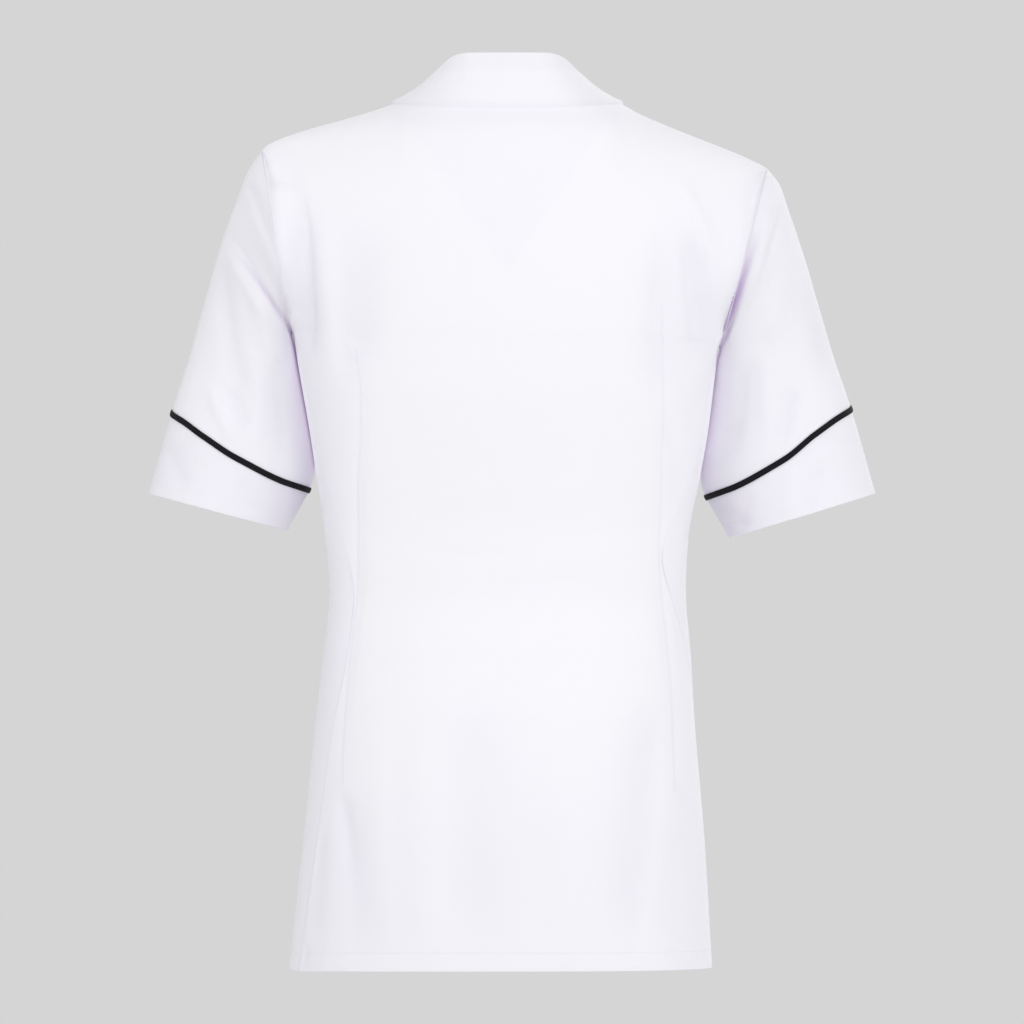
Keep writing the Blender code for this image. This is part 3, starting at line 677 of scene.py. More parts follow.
def dart_pull(sheet):
    """The trough along both darts: deepest half way, a bell across, and gone at the ends."""
    place = sheet[..., [0, 2]] / MM
    total = np.zeros(place.shape[:2])
    for side in DARTS:
        across, beyond = dart_distance(place, side)
        low, high = DARTS[side]["height"][0], DARTS[side]["height"][-1]
        share = np.clip((place[..., 1] - low) / (high - low), 0, 1)
        side_share = np.exp(-(across / DART_TROUGH["wide"]) ** 2)
        total += DART_TROUGH["deep"] * np.sin(np.pi * share) ** 0.7 * side_share * (beyond == 0)
    return total


pulled = dart_pull(sheets["back"])
sheets["back"] = sheets["back"] - normals["back"] * pulled[..., None] * MM
# The left front lies one wall and a gap further in where the right one laps over it
tuck = 1 - smooth_step((sheets["front_left"][..., :1] - (OVERLAP + 6 * MM)) / (20 * MM))
sheets["front_left"] = sheets["front_left"] - normals["front_left"] * tuck * (CAD_WALL + LAP_GAP)
for name in ("back", "front_left", "front_right"):
    height, around = run_along(sheets[name], 0) / MM, run_along(sheets[name], 1) / MM
    ripple = RIPPLE["deep"] * np.sin(around * RIPPLE["short_wave"]) * np.sin(around * RIPPLE["long_wave"] + 1)
    zone = np.exp(-((height - RIPPLE["above_edge"]) / RIPPLE["wide"]) ** 2)
    sheets[name] = sheets[name] + normals[name] * (ripple * zone)[..., None] * MM


def seam_distance(name):
    """Millimetres from each point to the nearest sewn line. A side seam fades out above the waist, and the
    neck's seam is soft, as if it lay a little off the edge."""
    sheet = sheets[name]
    up, across = run_along(sheet, 0) / MM, run_along(sheet, 1) / MM
    if name.startswith("cuff"):
        return up
    if name.startswith("sleeve"):
        return np.minimum(up, up[-1] - up)
    if name == "collar":
        return up + SOFT_NECK
    from_top = up[-1] - up + SOFT_NECK * (np.abs(sheet[-1:, :, 0]) < NECK_HALF_WIDTH)
    left, right = across, across[:, -1:] - across
    fade = SIDE_FADE * smooth_step((sheet[..., 2] / MM + 370) / 30)
    fade[TRUNK_ROWS:] = 0
    if name == "back":
        place = sheet[..., [0, 2]] / MM
        lines = [from_top, left + fade, right + fade]
        lines += [np.hypot(*dart_distance(place, side)) for side in DARTS]
        return np.minimum.reduce(lines)
    sides = right if name == "front_left" else left
    on_shoulder = np.abs(sheet[-1:, :, 0]) > NECK_HALF_WIDTH - 0.1 * MM
    return np.minimum(sides + fade, np.where(on_shoulder, from_top, FAR))


print("dart ends from", DARTS["left"]["height"][0], "to", DARTS["left"]["height"][-1], "mm below the neck")

# %% [markdown]
# ## Painted shade in the hollows, and painted light through the cloth
#
# The lilac painted shade is strongest where the sleeve tucks in beside the trunk, weaker in each trough,
# and just visible as the V of the neckline, where no front lies behind the back to send light through it.
# Thin white cloth is never black in such a place, because light comes through it from the other side. Its
# own measure says how much, and the finish paints it back as an emission, a painted glow of the cloth's own.

# %% How much painted shade each point takes in a hollow, and how much painted light comes through, from 0 to 1
# Places of painted shade: the right sleeve's gap, the left sleeve's crease and the dark slits beside the trunk;
# then the share of painted glow on each sleeve
PAINTED_GAP_SHADE = {"drop": [100, 116, 128, 144, 156, 168, 180, 192], "side": [201, 194, 190, 184, 180, 175.5, 171, 168],
       "wide": [3, 3.8, 4.6, 5.4, 5.8, 5.6, 4.2, 2.4]}
PAINTED_CREASE_SHADE = dict(zip(FOLD_PARTS, ((222, -112), (199, -140), (166, -192), 0.5, 2.2, 0)))
PAINTED_SLIT_SHADE = {"sleeve_left": 0.6, "sleeve_right": 0.2}
PAINTED_GLOW = {
    "sleeve_left": {"share": 0.22, "widens": 5.6, "slit": 0.7},
    "sleeve_right": {"share": 0.14, "widens": 9, "slit": 0.0},
}


def beside_trunk(name):
    """Millimetres that each point stands out past the trunk's side, at its own height."""
    side = name.split("_")[1]
    x, z = np.abs(sheets[name][..., 0]) / MM, sheets[name][..., 2] / MM
    return x - through(TRUNK["height"], TRUNK[side], np.clip(z, -690, -182))


def right_gap_painted_shade(name):
    """A share from 0 to 1 of painted shade: the deep hollow of the right sleeve, beside the armhole's seam at
    the back.
    """
    x, y, z = (sheets[name][..., k] / MM for k in range(3))
    across = (np.abs(x) - np.interp(-z, PAINTED_GAP_SHADE["drop"], PAINTED_GAP_SHADE["side"])) / np.interp(-z, PAINTED_GAP_SHADE["drop"], PAINTED_GAP_SHADE["wide"])
    ends = smooth_step((-z - 100) / 70) * smooth_step((204 + z) / 8)
    return np.exp(-np.abs(across) ** 3) * ends * (y > 0)


def painted_shade_of(name):
    """Painted shade, from 0 to 1: a little in every trough, more at the sides, and most beside the sleeves."""
    sheet = sheets[name]
    x, y, z = (sheet[..., k] / MM for k in range(3))
    tone = 0.05 * np.clip(depth[name] / 3, 0, 1)
    if name == "back":
        # painted shade in the V of the neckline, where no front lies behind the back
        painted_v_shade = smooth_step((93 * (1 + z / 146) - np.abs(x)) / 9) * smooth_step((-z - 2) / 8)
        tone += 0.022 * painted_v_shade
        #         painted shade on both sides below the shoulder blades, in a band below the collar, and on the
        #         lower back
        tone += 0.035 * smooth_step((np.abs(x) - 105) / 40) * smooth_step((-z - 60) / 60)
        tone += 0.04 * np.exp(-((z + 13) / 9) ** 2) * (np.abs(x) < 90)
        tone += 0.03 * smooth_step((-z - 480) / 150)
    if name.startswith("front"):
        # painted shade towards the front's sides
        tone += 0.055 * smooth_step((np.abs(x) - 105) / 40)
    if name.startswith("sleeve"):
        reach = np.maximum(beside_trunk(name), 0)
        low = smooth_step((-z - 120) / 60)
        #         painted shade, wide and soft beside the trunk, and a narrow dark painted slit on it
        tone += 0.13 * np.exp(-(reach / 13) ** 2) * low + 0.03
        tone += PAINTED_SLIT_SHADE[name] * np.exp(-(reach / 1.8) ** 2) * low
        if name == "sleeve_right":
            # painted shade in the right sleeve's deep gap
            tone += 0.02 + 1.0 * right_gap_painted_shade(name)
        else:
            # painted shade along the left sleeve's crease
            tone += fold_depth(sheet[..., [0, 2]] / MM, PAINTED_CREASE_SHADE) * smooth_step((-z - 105) / 60) * (y > 0)
    if name.startswith("cuff"):
        # painted shade on the cuff, most towards its inner side
        tone += 0.08 + 0.12 * np.exp(-((np.abs(x) - 168) / 20) ** 2)
    if name == "collar":
        #         painted shade on its rolled edge, and at the seam at its foot
        tone += 0.03 + 0.03 * smooth_step((z - 22) / 6) * (np.abs(x) < 60)
        tone += 0.07 * np.exp(-(run_along(sheet, 0) / (5 * MM)) ** 2)
    return np.clip(tone, 0, 1)


def painted_glow_of(name):
    """How much painted light, as an emission, stands in for light through the cloth: beside the trunk on a
    sleeve, and along the trunk's own sides.
    """
    z = sheets[name][..., 2] / MM
    if name in PAINTED_GLOW:
        reach = np.maximum(beside_trunk(name), 0)
        wide = 3 + PAINTED_GLOW[name]["widens"] * smooth_step((-z - 184) / 36)
        slit = 1 - PAINTED_GLOW[name]["slit"] * np.exp(-(reach / 1.6) ** 2)
        painted_glow = PAINTED_GLOW[name]["share"] * np.exp(-(reach / wide) ** 2) * slit
        return painted_glow * smooth_step((-z - 160) / 30)
    if name in ("back", "front_left", "front_right"):
        side = np.where(sheets[name][..., 0] > 0, through(TRUNK["height"], TRUNK["left"], z),
                        through(TRUNK["height"], TRUNK["right"], z))
        near = smooth_step((np.abs(sheets[name][..., 0]) / MM - side + 5) / 5)
        return 0.07 * near * smooth_step((-z - 178) / 12) * smooth_step((340 + z) / 60)
    return 0 * z


# %% [markdown]
# ## A shell from a sheet
#
# Each sheet becomes a closed shell: the sheet itself, the same points moved in by the cloth's thickness,
# and a strip round the edges. A hem or a faced edge is a fold of cloth, so its strip is rounded. At a seam
# it stays flat and a hair short of its neighbour. The pattern's coordinates are metres along the cloth.

# %% The shell maker
pieces = {}


def strip_points(outer, inner, outward, rounded):
    """Lines between a shell's outer and inner edge: half a circle out of the cloth's plane, or none."""
    if not rounded:
        return []
    angles = np.radians([30, 60, 90, 120, 150])
    centre, arm = (outer + inner) / 2, (outer - inner) / 2
    radius = np.linalg.norm(arm, axis=-1, keepdims=True)
    return [centre + arm * math.cos(a) + outward * radius * math.sin(a) for a in angles]


def shell(name, sheet, facing, is_closed, thickness, rounded, measures, gap=0.02 * MM):
    """A closed shell from a sheet. Rounded names the edges that are folded: bottom, top, start, end."""
    rows, columns = sheet.shape[:2]
    outer = sheet.copy()
    edges = {"bottom": (sheet[0], sheet[1], facing[0]), "top": (sheet[-1], sheet[-2], facing[-1])}
    if not is_closed:
        edges["start"] = (sheet[:, 0], sheet[:, 1], facing[:, 0])
        edges["end"] = (sheet[:, -1], sheet[:, -2], facing[:, -1])
    outward = {}
    for edge, (line, inside, upright) in edges.items():
        tangent = unit(np.gradient(line, axis=0))
        away = unit(np.cross(tangent, upright))
        away *= np.sign(np.sum(away * (line - inside), axis=-1, keepdims=True))
        outward[edge] = away
    outer[0] -= outward["bottom"] * gap / 2
    outer[-1] -= outward["top"] * gap / 2
    if not is_closed:
        outer[:, 0] -= outward["start"] * gap / 2
        outer[:, -1] -= outward["end"] * gap / 2
    inner = outer - facing * thickness
    count = rows * columns
    index = np.arange(count).reshape(rows, columns)
    across = run_along(sheet, 1, is_closed)
    along = run_along(sheet, 0)
    if is_closed:
        along = np.concatenate([along, along[:, :1]], axis=1)
    row, col = cells_of(sheet, is_closed)
    corner = index[row, col % columns]
    pattern = np.stack([across[row, col], along[row, col]], axis=-1)
    faces = [corner, corner[:, ::-1] + count]
    patterns = [pattern, pattern[:, ::-1]]
    points = [outer.reshape(-1, 3), inner.reshape(-1, 3)]
    values = {key: [value.reshape(-1), value.reshape(-1)] for key, value in measures.items()}
    made = 2 * count
    for edge in edges:
        line = {"bottom": index[0, ::-1], "top": index[-1], "start": index[:, 0], "end": index[::-1, -1]}[edge]
        turned = outward[edge][::-1] if edge in ("bottom", "end") else outward[edge]
        flat_outer, flat_inner = outer.reshape(-1, 3)[line], inner.reshape(-1, 3)[line]
        between = strip_points(flat_outer, flat_inner, turned, edge in rounded)
        lines = [line]
        for extra in between:
            lines.append(np.arange(len(line)) + made)
            points.append(extra)
            made += len(line)
            for key, value in measures.items():
                values[key].append(value.reshape(-1)[line])
        lines.append(line + count)
        if is_closed:
            lines = [np.append(one, one[0]) for one in lines]
        spot = np.stack([across[:, :columns].reshape(-1)[line], along[:, :columns].reshape(-1)[line]], -1)
        if is_closed:
            spot = np.concatenate([spot, spot[:1]])
        for one, two in zip(lines[:-1], lines[1:]):
            faces.append(np.stack([one[:-1], one[1:], two[1:], two[:-1]], -1))
            patterns.append(np.stack([spot[:-1], spot[1:], spot[1:], spot[:-1]], axis=1))
    mesh = bpy.data.meshes.new(name)
    mesh.from_pydata(np.concatenate(points).tolist(), [], np.concatenate(faces).tolist())
    layer = mesh.uv_layers.new(name="cloth")
    layer.data.foreach_set("uv", np.concatenate(patterns).reshape(-1))
    for key, parts in values.items():
        mesh.attributes.new(key, "FLOAT", "POINT").data.foreach_set("value", np.concatenate(parts))
    mesh.shade_smooth()
    mesh.set_sharp_from_angle(angle=math.radians(50))
    piece = bpy.data.objects.new(name, mesh)
    bpy.context.scene.collection.objects.link(piece)
    pieces[name] = piece
    return piece


ROUNDED = {
    "back": ("bottom",), "front_left": ("bottom", "start"), "front_right": ("bottom", "end"),
    "collar": ("top", "start", "end"), "sleeve": (), "cuff": ("top",),
}
for name in cloth_names:
    rounded = ROUNDED.get(name) or ROUNDED.get(name.split("_")[0], ())
    # painted shade and painted glow go to the mesh as attributes, beside the seam distance
    measures = {"sewn": seam_distance(name), "painted_shade": painted_shade_of(name), "painted_glow": painted_glow_of(name)}
    shell(name + "_cloth", sheets[name], normals[name], closed[name], WALL, rounded, measures)
print({name: len(piece.data.polygons) for name, piece in pieces.items()})

# %% [markdown]
# ## Cloth
#
# The cloth is a firm plain weave of white polyester and cotton. Close up it is a grid of threads, each
# going over one and under the next, with a slightly thicker thread here and there. One node group makes
# that weave from the pattern's coordinates, and a second one turns the distance to a seam into a groove,
# so that white cloth, black piping and thread can all use them with their own sizes.

# %% Shader node groups
# Noise to a metre across and along the threads, once for the warp and once for the weft
SLUB_STRETCHES = ((2600, 60, 1), (60, 2600, 1))


def node(tree, kind, **settings):
    """A new node of a kind, with its settings."""
    made = tree.nodes.new("ShaderNode" + kind)
    for key, value in settings.items():
        setattr(made, key, value)
    return made


def calculated(tree, operation, *values):
    """A Math node: each value is a number or another node's output."""
    made = node(tree, "Math", operation=operation)
    for socket, value in zip(made.inputs, values):
        if isinstance(value, (int, float)):
            socket.default_value = value
        else:
            tree.links.new(value, socket)
    return made.outputs[0]


def bell(tree, x):
    """1 where x is 0, falling off on both sides: e to the power of less x squared."""
    squared = calculated(tree, "MULTIPLY", x, x)
    return calculated(tree, "EXPONENT", calculated(tree, "MULTIPLY", squared, -1.0))


def noise_of(tree, vector, scale, detail=2.0):
    """Soft noise, from 0 to 1, at a place."""
    made = node(tree, "TexNoise")
    made.inputs["Scale"].default_value = scale
    made.inputs["Detail"].default_value = detail
    tree.links.new(vector, made.inputs["Vector"])
    return made.outputs["Fac"]


def new_group(name, inputs, outputs):
    """A node group with its inputs (name, kind, value) and its outputs, all plain numbers."""
    group = bpy.data.node_groups.new(name, "ShaderNodeTree")
    for title, kind, value in inputs:
        socket = group.interface.new_socket(title, in_out="INPUT", socket_type=kind)
        if value is not None:
            socket.default_value = value
    for title in outputs:
        group.interface.new_socket(title, in_out="OUTPUT", socket_type="NodeSocketFloat")
    return group, group.nodes.new("NodeGroupInput"), group.nodes.new("NodeGroupOutput")


def weave_group():
    """Plain weave: in each square of the thread grid one thread is on top, warp and weft by turns, and its
    height is the sine of the way across it. Slubs are noise drawn out along the threads."""
    group, given, result = new_group("plain weave", [
        ("Pattern", "NodeSocketVector", None), ("Thread", "NodeSocketFloat", 0.00042),
        ("Relief", "NodeSocketFloat", 0.00009)], ["Height", "Slub"])
    split = node(group, "SeparateXYZ")
    group.links.new(given.outputs["Pattern"], split.inputs[0])
    waves = []
    for axis in ("X", "Y"):
        count = calculated(group, "DIVIDE", split.outputs[axis], given.outputs["Thread"])
        waves.append(calculated(group, "SINE", calculated(group, "MULTIPLY", count, math.pi)))
    over = calculated(group, "GREATER_THAN", calculated(group, "MULTIPLY", *waves), 0.0)
    warp, weft = (calculated(group, "ABSOLUTE", wave) for wave in waves)
    top = calculated(group, "ADD", calculated(group, "MULTIPLY", warp, over),
                     calculated(group, "MULTIPLY", weft, calculated(group, "SUBTRACT", 1.0, over)))
    slubs = []
    for stretch in SLUB_STRETCHES:
        mapping = node(group, "Mapping")
        mapping.inputs["Scale"].default_value = stretch
        group.links.new(given.outputs["Pattern"], mapping.inputs["Vector"])
        slubs.append(noise_of(group, mapping.outputs[0], 1.0, 1.0))
    slub = calculated(group, "MULTIPLY", calculated(group, "ADD", *slubs), 0.5)
    raised = calculated(group, "ADD", top, calculated(group, "MULTIPLY", slub, 0.6))
    height = calculated(group, "MULTIPLY", raised, given.outputs["Relief"])
    group.links.new(height, result.inputs["Height"])
    group.links.new(slub, result.inputs["Slub"])
    return group


def seam_group():
    """A sewn line: a narrow groove on the line and a faint ridge beside it, where the turnings lie inside."""
    group, given, result = new_group("sewn line", [
        ("Distance", "NodeSocketFloat", 99.0), ("Groove", "NodeSocketFloat", 0.0003),
        ("Width", "NodeSocketFloat", 1.2)], ["Height", "Line"])
    share = calculated(group, "DIVIDE", given.outputs["Distance"], given.outputs["Width"])
    line, ridge = bell(group, share), bell(group, calculated(group, "DIVIDE", share, 5.0))
    cut = calculated(group, "MULTIPLY", line, given.outputs["Groove"])
    lift = calculated(group, "MULTIPLY", calculated(group, "MULTIPLY", ridge, given.outputs["Groove"]), 0.35)
    group.links.new(calculated(group, "SUBTRACT", lift, cut), result.inputs["Height"])
    group.links.new(line, result.inputs["Line"])
    return group


WEAVE, SEWN_LINE = weave_group(), seam_group()
print("node groups:", [WEAVE.name, SEWN_LINE.name])

# %% [markdown]
# ## Finishes
#
# The white is not quite white: a faint blue-violet brightener is in all such cloth. Lilac painted shade is
# mixed in where light would bounce between folds and along the seams, and a painted glow, an emission, stands
# in for light through the cloth. The piping is a finer weave in dull black.

# %% Materials
CLOTH_WHITE = (0.885, 0.883, 0.925, 1)
# The lilac below is painted shade for the hollows and seams, and the two colours after it are painted light
# through the cloth, given as emission
PAINTED_SHADE_LILAC = (0.44, 0.30, 0.56, 1)
PAINTED_GLOW_THROUGH_CLOTH = (0.98, 0.91, 1.0, 1)
PAINTED_GLOW_IN_FOLD = (0.80, 0.46, 0.95, 1)
PIPING_BLACK = (0.004, 0.004, 0.006, 1)
PLASTIC_WHITE = (0.80, 0.80, 0.84, 1)


def finish(name, roughness, sheen=0.0):
    """A new material, its node tree and its shader."""
    material = bpy.data.materials.new(name)
    material.use_nodes = True
    tree = material.node_tree
    shader = tree.nodes["Principled BSDF"]
    shader.inputs["Roughness"].default_value = roughness
    shader.inputs["Sheen Weight"].default_value = sheen
    shader.inputs["Sheen Roughness"].default_value = 0.5
    return material, tree, shader


def mixed(tree, share, first, second):
    """A colour Mix node. Each colour is a constant or another node's output."""
    made = node(tree, "Mix", data_type="RGBA")
    for socket, value in ((made.inputs[0], share), (made.inputs[6], first), (made.inputs[7], second)):
        if isinstance(value, (int, float, tuple)):
            socket.default_value = value
        else:
            tree.links.new(value, socket)
    return made.outputs[2]


def placed(tree, group, **values):
    """One use of a node group, with its own values or links on the named inputs."""
    made = node(tree, "Group", node_tree=group)
    for title, value in values.items():
        if isinstance(value, (int, float)):
            made.inputs[title].default_value = value
        else:
            tree.links.new(value, made.inputs[title])
    return made.outputs


def bumped(tree, shader, height, distance=1.0):
    """Fine relief: the shader's normal tilts as on a surface of that height, times a distance in metres."""
    bump = node(tree, "Bump")
    bump.inputs["Distance"].default_value = distance
    tree.links.new(height, bump.inputs["Height"])
    tree.links.new(bump.outputs[0], shader.inputs["Normal"])


def roughened(tree, shader, slub, share, least):
    """Roughness that grows with the thread's slubs."""
    rough = calculated(tree, "ADD", calculated(tree, "MULTIPLY", slub, share), least)
    tree.links.new(rough, shader.inputs["Roughness"])


def white_cloth():
    """White weave with lilac painted shade in its hollows and along its seams, clouded by its threads, and a
    painted glow, an emission, where light would come through.
    """
    material, tree, shader = finish("white cloth", 0.82, 0.12)
    pattern = node(tree, "UVMap", uv_map="cloth").outputs["UV"]
    # the painted shade and painted glow, read from the mesh
    sewn, painted_shade, painted_glow = (node(tree, "Attribute", attribute_name=key).outputs["Fac"]
                          for key in ("sewn", "painted_shade", "painted_glow"))
    weave = placed(tree, WEAVE, Pattern=pattern, Thread=0.00042, Relief=0.00005)
    line = placed(tree, SEWN_LINE, Distance=sewn, Groove=0.00015, Width=0.95)
    cloud = noise_of(tree, node(tree, "TexCoord").outputs["Object"], 9.0, 3.0)
    # painted shade: lilac mixed in by how deep in a hollow each point lies
    colour = mixed(tree, painted_shade, CLOTH_WHITE, PAINTED_SHADE_LILAC)
    soft = calculated(tree, "MULTIPLY", cloud, 0.035)
    colour = mixed(tree, soft, colour, (0.78, 0.77, 0.83, 1))
    thread = calculated(tree, "MULTIPLY", weave["Slub"], 0.05)
    colour = mixed(tree, thread, colour, (0.80, 0.80, 0.86, 1))
    # painted shade along each sewn line
    colour = mixed(tree, calculated(tree, "MULTIPLY", line["Line"], 0.09), colour, PAINTED_SHADE_LILAC)
    tree.links.new(colour, shader.inputs["Base Color"])
    # painted light: an emission, more lilac where the painted shade is deep
    painted_glow_colour = mixed(tree, painted_shade, PAINTED_GLOW_THROUGH_CLOTH, PAINTED_GLOW_IN_FOLD)
    tree.links.new(mixed(tree, painted_glow, (0.0, 0.0, 0.0, 1), painted_glow_colour), shader.inputs["Emission Color"])
    shader.inputs["Emission Strength"].default_value = 1.0
    roughened(tree, shader, weave["Slub"], 0.12, 0.76)
    bumped(tree, shader, calculated(tree, "ADD", weave["Height"], line["Height"]))
    return material


def black_piping():
    """Black weave with hardly any shine."""
    material, tree, shader = finish("black piping", 0.7)
    shader.inputs["Specular IOR Level"].default_value = 0.15
    pattern = node(tree, "UVMap", uv_map="cloth").outputs["UV"]
    weave = placed(tree, WEAVE, Pattern=pattern, Thread=0.00035, Relief=0.00008)
    colour = mixed(tree, weave["Slub"], PIPING_BLACK, (0.010, 0.009, 0.013, 1))
    tree.links.new(colour, shader.inputs["Base Color"])
    roughened(tree, shader, weave["Slub"], 0.2, 0.6)
    bumped(tree, shader, weave["Height"])
    return material


def speckled(name, colour, second, roughness, scale, relief):
    """Thread or moulded plastic: a colour clouded by fine noise, which also lifts the surface a little."""
    material, tree, shader = finish(name, roughness)
    noise = noise_of(tree, node(tree, "TexCoord").outputs["Object"], scale)
    tree.links.new(mixed(tree, noise, colour, second), shader.inputs["Base Color"])
    bumped(tree, shader, noise, relief)
    return material


CLOTH = white_cloth()
BLACK = black_piping()
PLASTIC = speckled("button plastic", PLASTIC_WHITE, (0.74, 0.74, 0.79, 1), 0.28, 400, 0.00001)
THREAD = speckled("white thread", (0.84, 0.84, 0.89, 1), (0.70, 0.70, 0.78, 1), 0.75, 3500, 0.00006)
for piece in pieces.values():
    piece.data.materials.append(CLOTH)
print("finishes:", [m.name for m in (CLOTH, BLACK, PLASTIC, THREAD)])

# %% [markdown]
# ## Piping
#
# Flat piping is a strip folded in two and caught in the seam, so only its folded edge shows, lying on the
# cuff. It is the strip of the cuff's surface below the seam, lifted by its own thickness, and rounded.

# %% Piping
for side in SIGN:
    name = "piping_" + side
    facing = shared_normals([name])[name]
    share = np.linspace(0, 1, sheets[name].shape[0])[:, None, None]
    crown = PIPING["lift"] + PIPING["wall"] * (0.85 + 0.25 * np.sin(np.pi * share))
    raised = sheets[name] + facing * crown
    blank = np.full(raised.shape[:2], float(FAR))
    strip = shell(name + "_strip", raised, facing, True, PIPING["wall"], ("bottom", "top"),
                  {"sewn": blank})
    strip.data.materials.append(BLACK)
print("piping:", round(PIPING["width"] / MM, 1), "mm wide")

# %% [markdown]
# ## Buttons
#
# The front closes with five moulded buttons, each a disc with a raised rim, a dished middle and four holes.
# The face is a height over a polar grid: rim and dish depend on the radius, and each hole is a steep pit.

# %% Buttons and their thread
BUTTON = {"radius": 7.5 * MM, "thick": 2.8 * MM, "hole": 0.95 * MM, "spread": 1.75 * MM / 1.4142}
BUTTON_DROPS = [-164 * MM, -256 * MM, -348 * MM, -440 * MM, -532 * MM]


def button_surface():
    """Outer skin as rings x turns x 3: up the side with a rounded edge, over the rim and into the dish."""
    turn = np.linspace(0, 2 * np.pi, 73)[:-1]
    radius, half = BUTTON["radius"], BUTTON["thick"] / 2
    under = np.linspace(0.02, 0.93, 6)
    edge = np.radians(np.linspace(-90, 90, 9))
    r = np.concatenate([under * radius, radius - 0.07 * radius * (1 - np.cos(edge)), np.linspace(0.92, 0.02, 42)
                        * radius])
    h = np.concatenate([np.full(6, -half), half * np.sin(edge), np.full(42, half)])
    dish = 0.7 * MM * smooth_step((0.74 * radius - r) / (0.16 * radius)) * (h > 0)
    x, y = r[:, None] * np.cos(turn), r[:, None] * np.sin(turn)
    pit = np.zeros_like(x)
    for across, up in ((1, 1), (1, -1), (-1, 1), (-1, -1)):
        gap = np.hypot(x - across * BUTTON["spread"], y - up * BUTTON["spread"])
        pit += smooth_step((BUTTON["hole"] - gap) / (0.35 * MM))
    z = (h - dish)[:, None] - 1.1 * MM * pit * (h > 0)[:, None]
    return np.stack([x, y, z], axis=-1)


def plain_mesh(name, points, faces, material):
    """A piece from its points and faces, smoothly shaded, with one finish."""
    mesh = bpy.data.meshes.new(name)
    mesh.from_pydata(points.tolist(), [], faces)
    mesh.shade_smooth()
    mesh.materials.append(material)
    piece = bpy.data.objects.new(name, mesh)
    bpy.context.scene.collection.objects.link(piece)
    pieces[name] = piece
    return piece


def tubes(name, paths, radius, material, sides=6):
    """Short threads, as threads x places x 3: a ring round each place, thinner at both ends, and closed."""
    count, places = paths.shape[:2]
    tangent = unit(np.gradient(paths, axis=1))
    upright = np.where(np.abs(tangent[..., 2:]) > 0.9, [[[1.0, 0, 0]]], [[[0, 0, 1.0]]])
    side = unit(np.cross(tangent, upright))
    other = np.cross(tangent, side)
    turn = np.linspace(0, 2 * np.pi, sides + 1)[:-1]
    thin = np.ones(places)
    thin[[0, -1]] = 0.45
    ring = side[..., None, :] * np.cos(turn)[:, None] + other[..., None, :] * np.sin(turn)[:, None]
    points = paths[..., None, :] + ring * (radius * thin)[None, :, None, None]
    index = np.arange(count * places * sides).reshape(count, places, sides)
    low, high = index[:, :-1], index[:, 1:]
    quads = np.stack([low, high, np.roll(high, -1, -1), np.roll(low, -1, -1)], -1).reshape(-1, 4)
    caps = index[:, 0].tolist() + index[:, -1, ::-1].tolist()
    return plain_mesh(name, points.reshape(-1, 3), quads.tolist() + caps, material)


front = sheets["front_right"]
centre_column = front.shape[1] - 1 - LAP_COLUMNS
centre_line, centre_facing = front[:, centre_column], normals["front_right"][:, centre_column]
skin = button_surface()
for number, drop in enumerate(BUTTON_DROPS, 1):
    spot = np.array([np.interp(drop, centre_line[:, 2], centre_line[:, k]) for k in range(3)])
    out = unit(np.array([np.interp(drop, centre_line[:, 2], centre_facing[:, k]) for k in range(3)]))
    out = unit(out * [0, 1, 1])
    across = np.array([1.0, 0, 0])
    up = np.cross(out, across)
    seat = spot + out * (BUTTON["thick"] / 2 + 0.48 * MM)
    turned = np.stack([across, up, out])
    rings, turns = skin.shape[:2]
    index = np.arange(rings * turns).reshape(rings, turns)
    low, high = index[:-1], index[1:]
    quads = np.stack([low, np.roll(low, -1, 1), np.roll(high, -1, 1), high], -1).reshape(-1, 4).tolist()
    caps = [index[0, ::-1].tolist(), index[-1].tolist()]
    plain_mesh(f"button_{number}_moulded", skin.reshape(-1, 3) @ turned + seat, quads + caps, PLASTIC)
    bars = np.array([[[-1, side, 0.05], [-0.5, side, 0.62], [0.5, side, 0.62], [1, side, 0.05]]
                     for side in (-1, -0.7, 0.7, 1)]) * [BUTTON["spread"], BUTTON["spread"], MM]
    tubes(f"button_{number}_thread", bars @ turned + seat, 0.19 * MM, THREAD)
    long = np.linspace(0, 2 * np.pi, 41)
    hole = np.stack([1.25 * MM * np.cos(long), 9.6 * MM * np.sin(long), 0 * long], axis=-1)
    lift = np.interp(drop + hole[:, 1], centre_line[:, 2], centre_line[:, 1]) - spot[1]
    placed_hole = spot + hole * [1, 0, 0] + np.stack([0 * lift, lift - 0.25 * MM, hole[:, 1]], axis=-1)
    tubes(f"buttonhole_{number}", placed_hole[None], 0.42 * MM, THREAD)
print(len(BUTTON_DROPS), "buttons,", round(2 * BUTTON["radius"] / MM), "mm across")

# %% [markdown]
# ## Topstitching
#
# The hem is turned up and stitched 14 mm above its edge, and the neck and front edges are stitched 6 mm in.
# Each stitch is its own short thread, 2.2 mm long, that dips into the cloth at both ends. A line of them
# follows the cloth at a set distance from an edge, found by measuring along each column of the sheet.

# %% Stitches
STITCH = {"pitch": 2.9 * MM, "long": 2.2 * MM, "radius": 0.17 * MM}


def line_at(sheet, facing, distance, wanted):
    """Points and directions at a distance along each column: between the last row short of it and the next."""
    row = np.clip((distance < wanted).sum(axis=0), 1, len(sheet) - 1)
    column = np.arange(sheet.shape[1])
    low, high = distance[row - 1, column], distance[row, column]
    share = np.clip((wanted - low) / np.maximum(high - low, 1e-9), 0, 1)[:, None]
    points = sheet[row - 1, column] * (1 - share) + sheet[row, column] * share
    return points, unit(facing[row - 1, column] * (1 - share) + facing[row, column] * share)


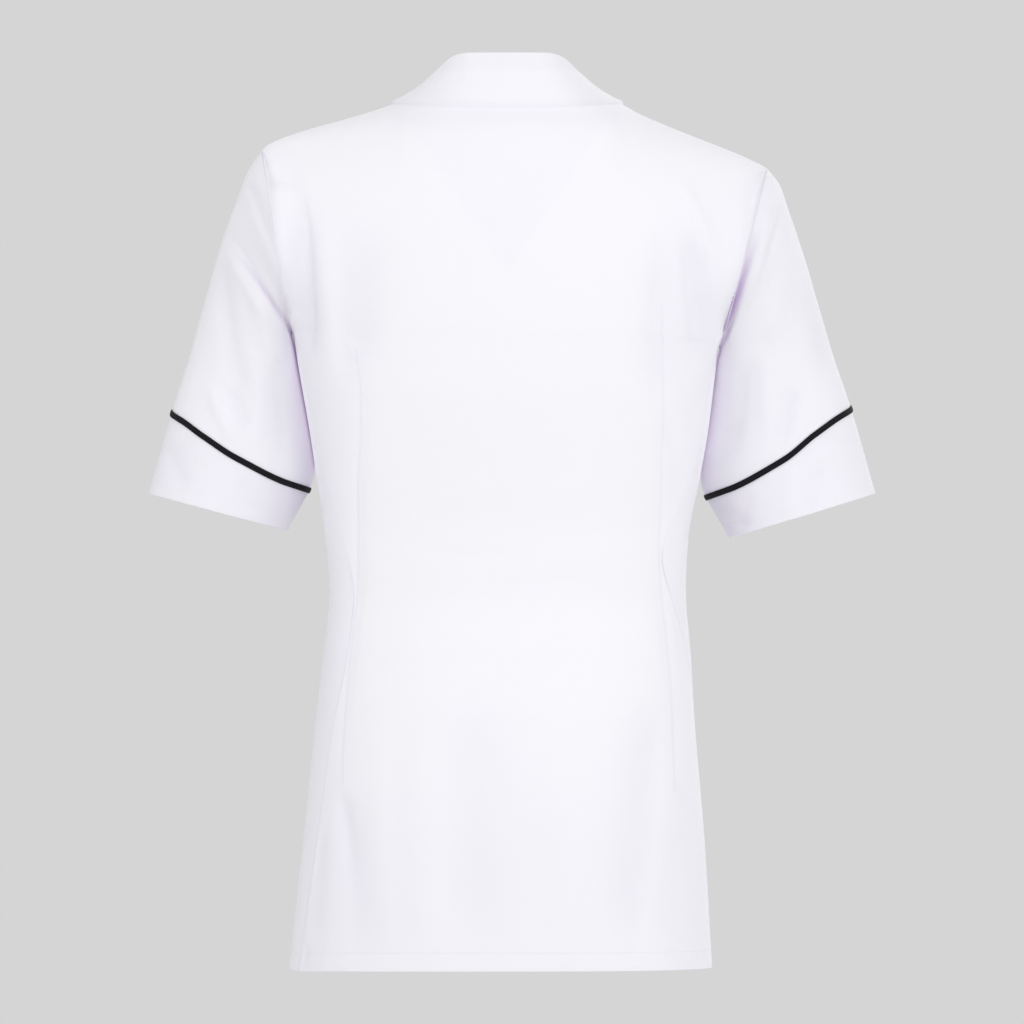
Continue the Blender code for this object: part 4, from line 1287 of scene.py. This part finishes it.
def stitches(name, points, facing):
    """A run of stitches along a line on the cloth, evenly spaced, each bowed out of the surface."""
    run = np.concatenate([[0], np.cumsum(np.linalg.norm(np.diff(points, axis=0), axis=1))])
    starts = np.arange(0.4 * STITCH["pitch"], run[-1] - STITCH["pitch"], STITCH["pitch"])
    places = starts[:, None] + np.linspace(0, 1, 5) * STITCH["long"]
    on_line = np.stack([np.interp(places, run, points[:, k]) for k in range(3)], axis=-1)
    out = np.stack([np.interp(places, run, facing[:, k]) for k in range(3)], axis=-1)
    bow = (np.array([-0.12, 0.1, 0.14, 0.1, -0.12]) * MM)[:, None]
    return tubes(name, on_line + out * bow, STITCH["radius"], THREAD)


for name in ("back", "front_left", "front_right"):
    up = run_along(sheets[name], 0)
    stitches(name + "_hem_stitches", *line_at(sheets[name], normals[name], up, 14 * MM))
for side in SIGN:
    name = "front_" + side
    sheet, facing = sheets[name], normals[name]
    down = run_along(sheet[::-1], 0)
    points, out = line_at(sheet[::-1], facing[::-1], down, 6 * MM)
    neck = slice(0, LAP_COLUMNS + NECK_COLUMNS) if side == "left" else slice(-LAP_COLUMNS - NECK_COLUMNS, None)
    stitches(name + "_neck_stitches", points[neck], out[neck])
    order = slice(None) if side == "left" else slice(None, None, -1)
    flipped, turned = sheet[:, order].swapaxes(0, 1), facing[:, order].swapaxes(0, 1)
    points, out = line_at(flipped, turned, run_along(flipped, 0), 5 * MM)
    # From just above the hem to just below the neck's point
    stitches(name + "_edge_stitches", points[4:-12], out[4:-12])
print("stitch length", STITCH["long"] / MM, "mm")

# %% [markdown]
# ## The body, and the coarse solids
#
# Every piece rides on the blouse's one body. Each shell takes the place of its coarse solid, which is
# hidden, as are the coarse buttons.

# %% Rides and replacements
# Cut width and length of each piece in metres, and its area in square metres
CUT = {
    "back": (0.47, 0.71, 0.262), "front_left": (0.27, 0.70, 0.172), "front_right": (0.27, 0.70, 0.158),
    "collar": (0.25, 0.05, 0.0088), "sleeve_left": (0.41, 0.26, 0.060), "sleeve_right": (0.41, 0.26, 0.060),
    "cuff_left": (0.37, 0.070, 0.0178), "cuff_right": (0.37, 0.073, 0.0186),
    "piping_left": (0.37, 0.012, 0.0018), "piping_right": (0.37, 0.012, 0.0019),
}
for name, piece in pieces.items():
    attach(piece, "root")
for name, (width, length, area) in CUT.items():
    piece = pieces[name + ("_strip" if name.startswith("piping") else "_cloth")]
    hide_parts(name)
for number in range(1, 6):
    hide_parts(f"button_{number}")
print(len(pieces), "pieces,", sum(len(p.data.polygons) for p in pieces.values()), "faces")
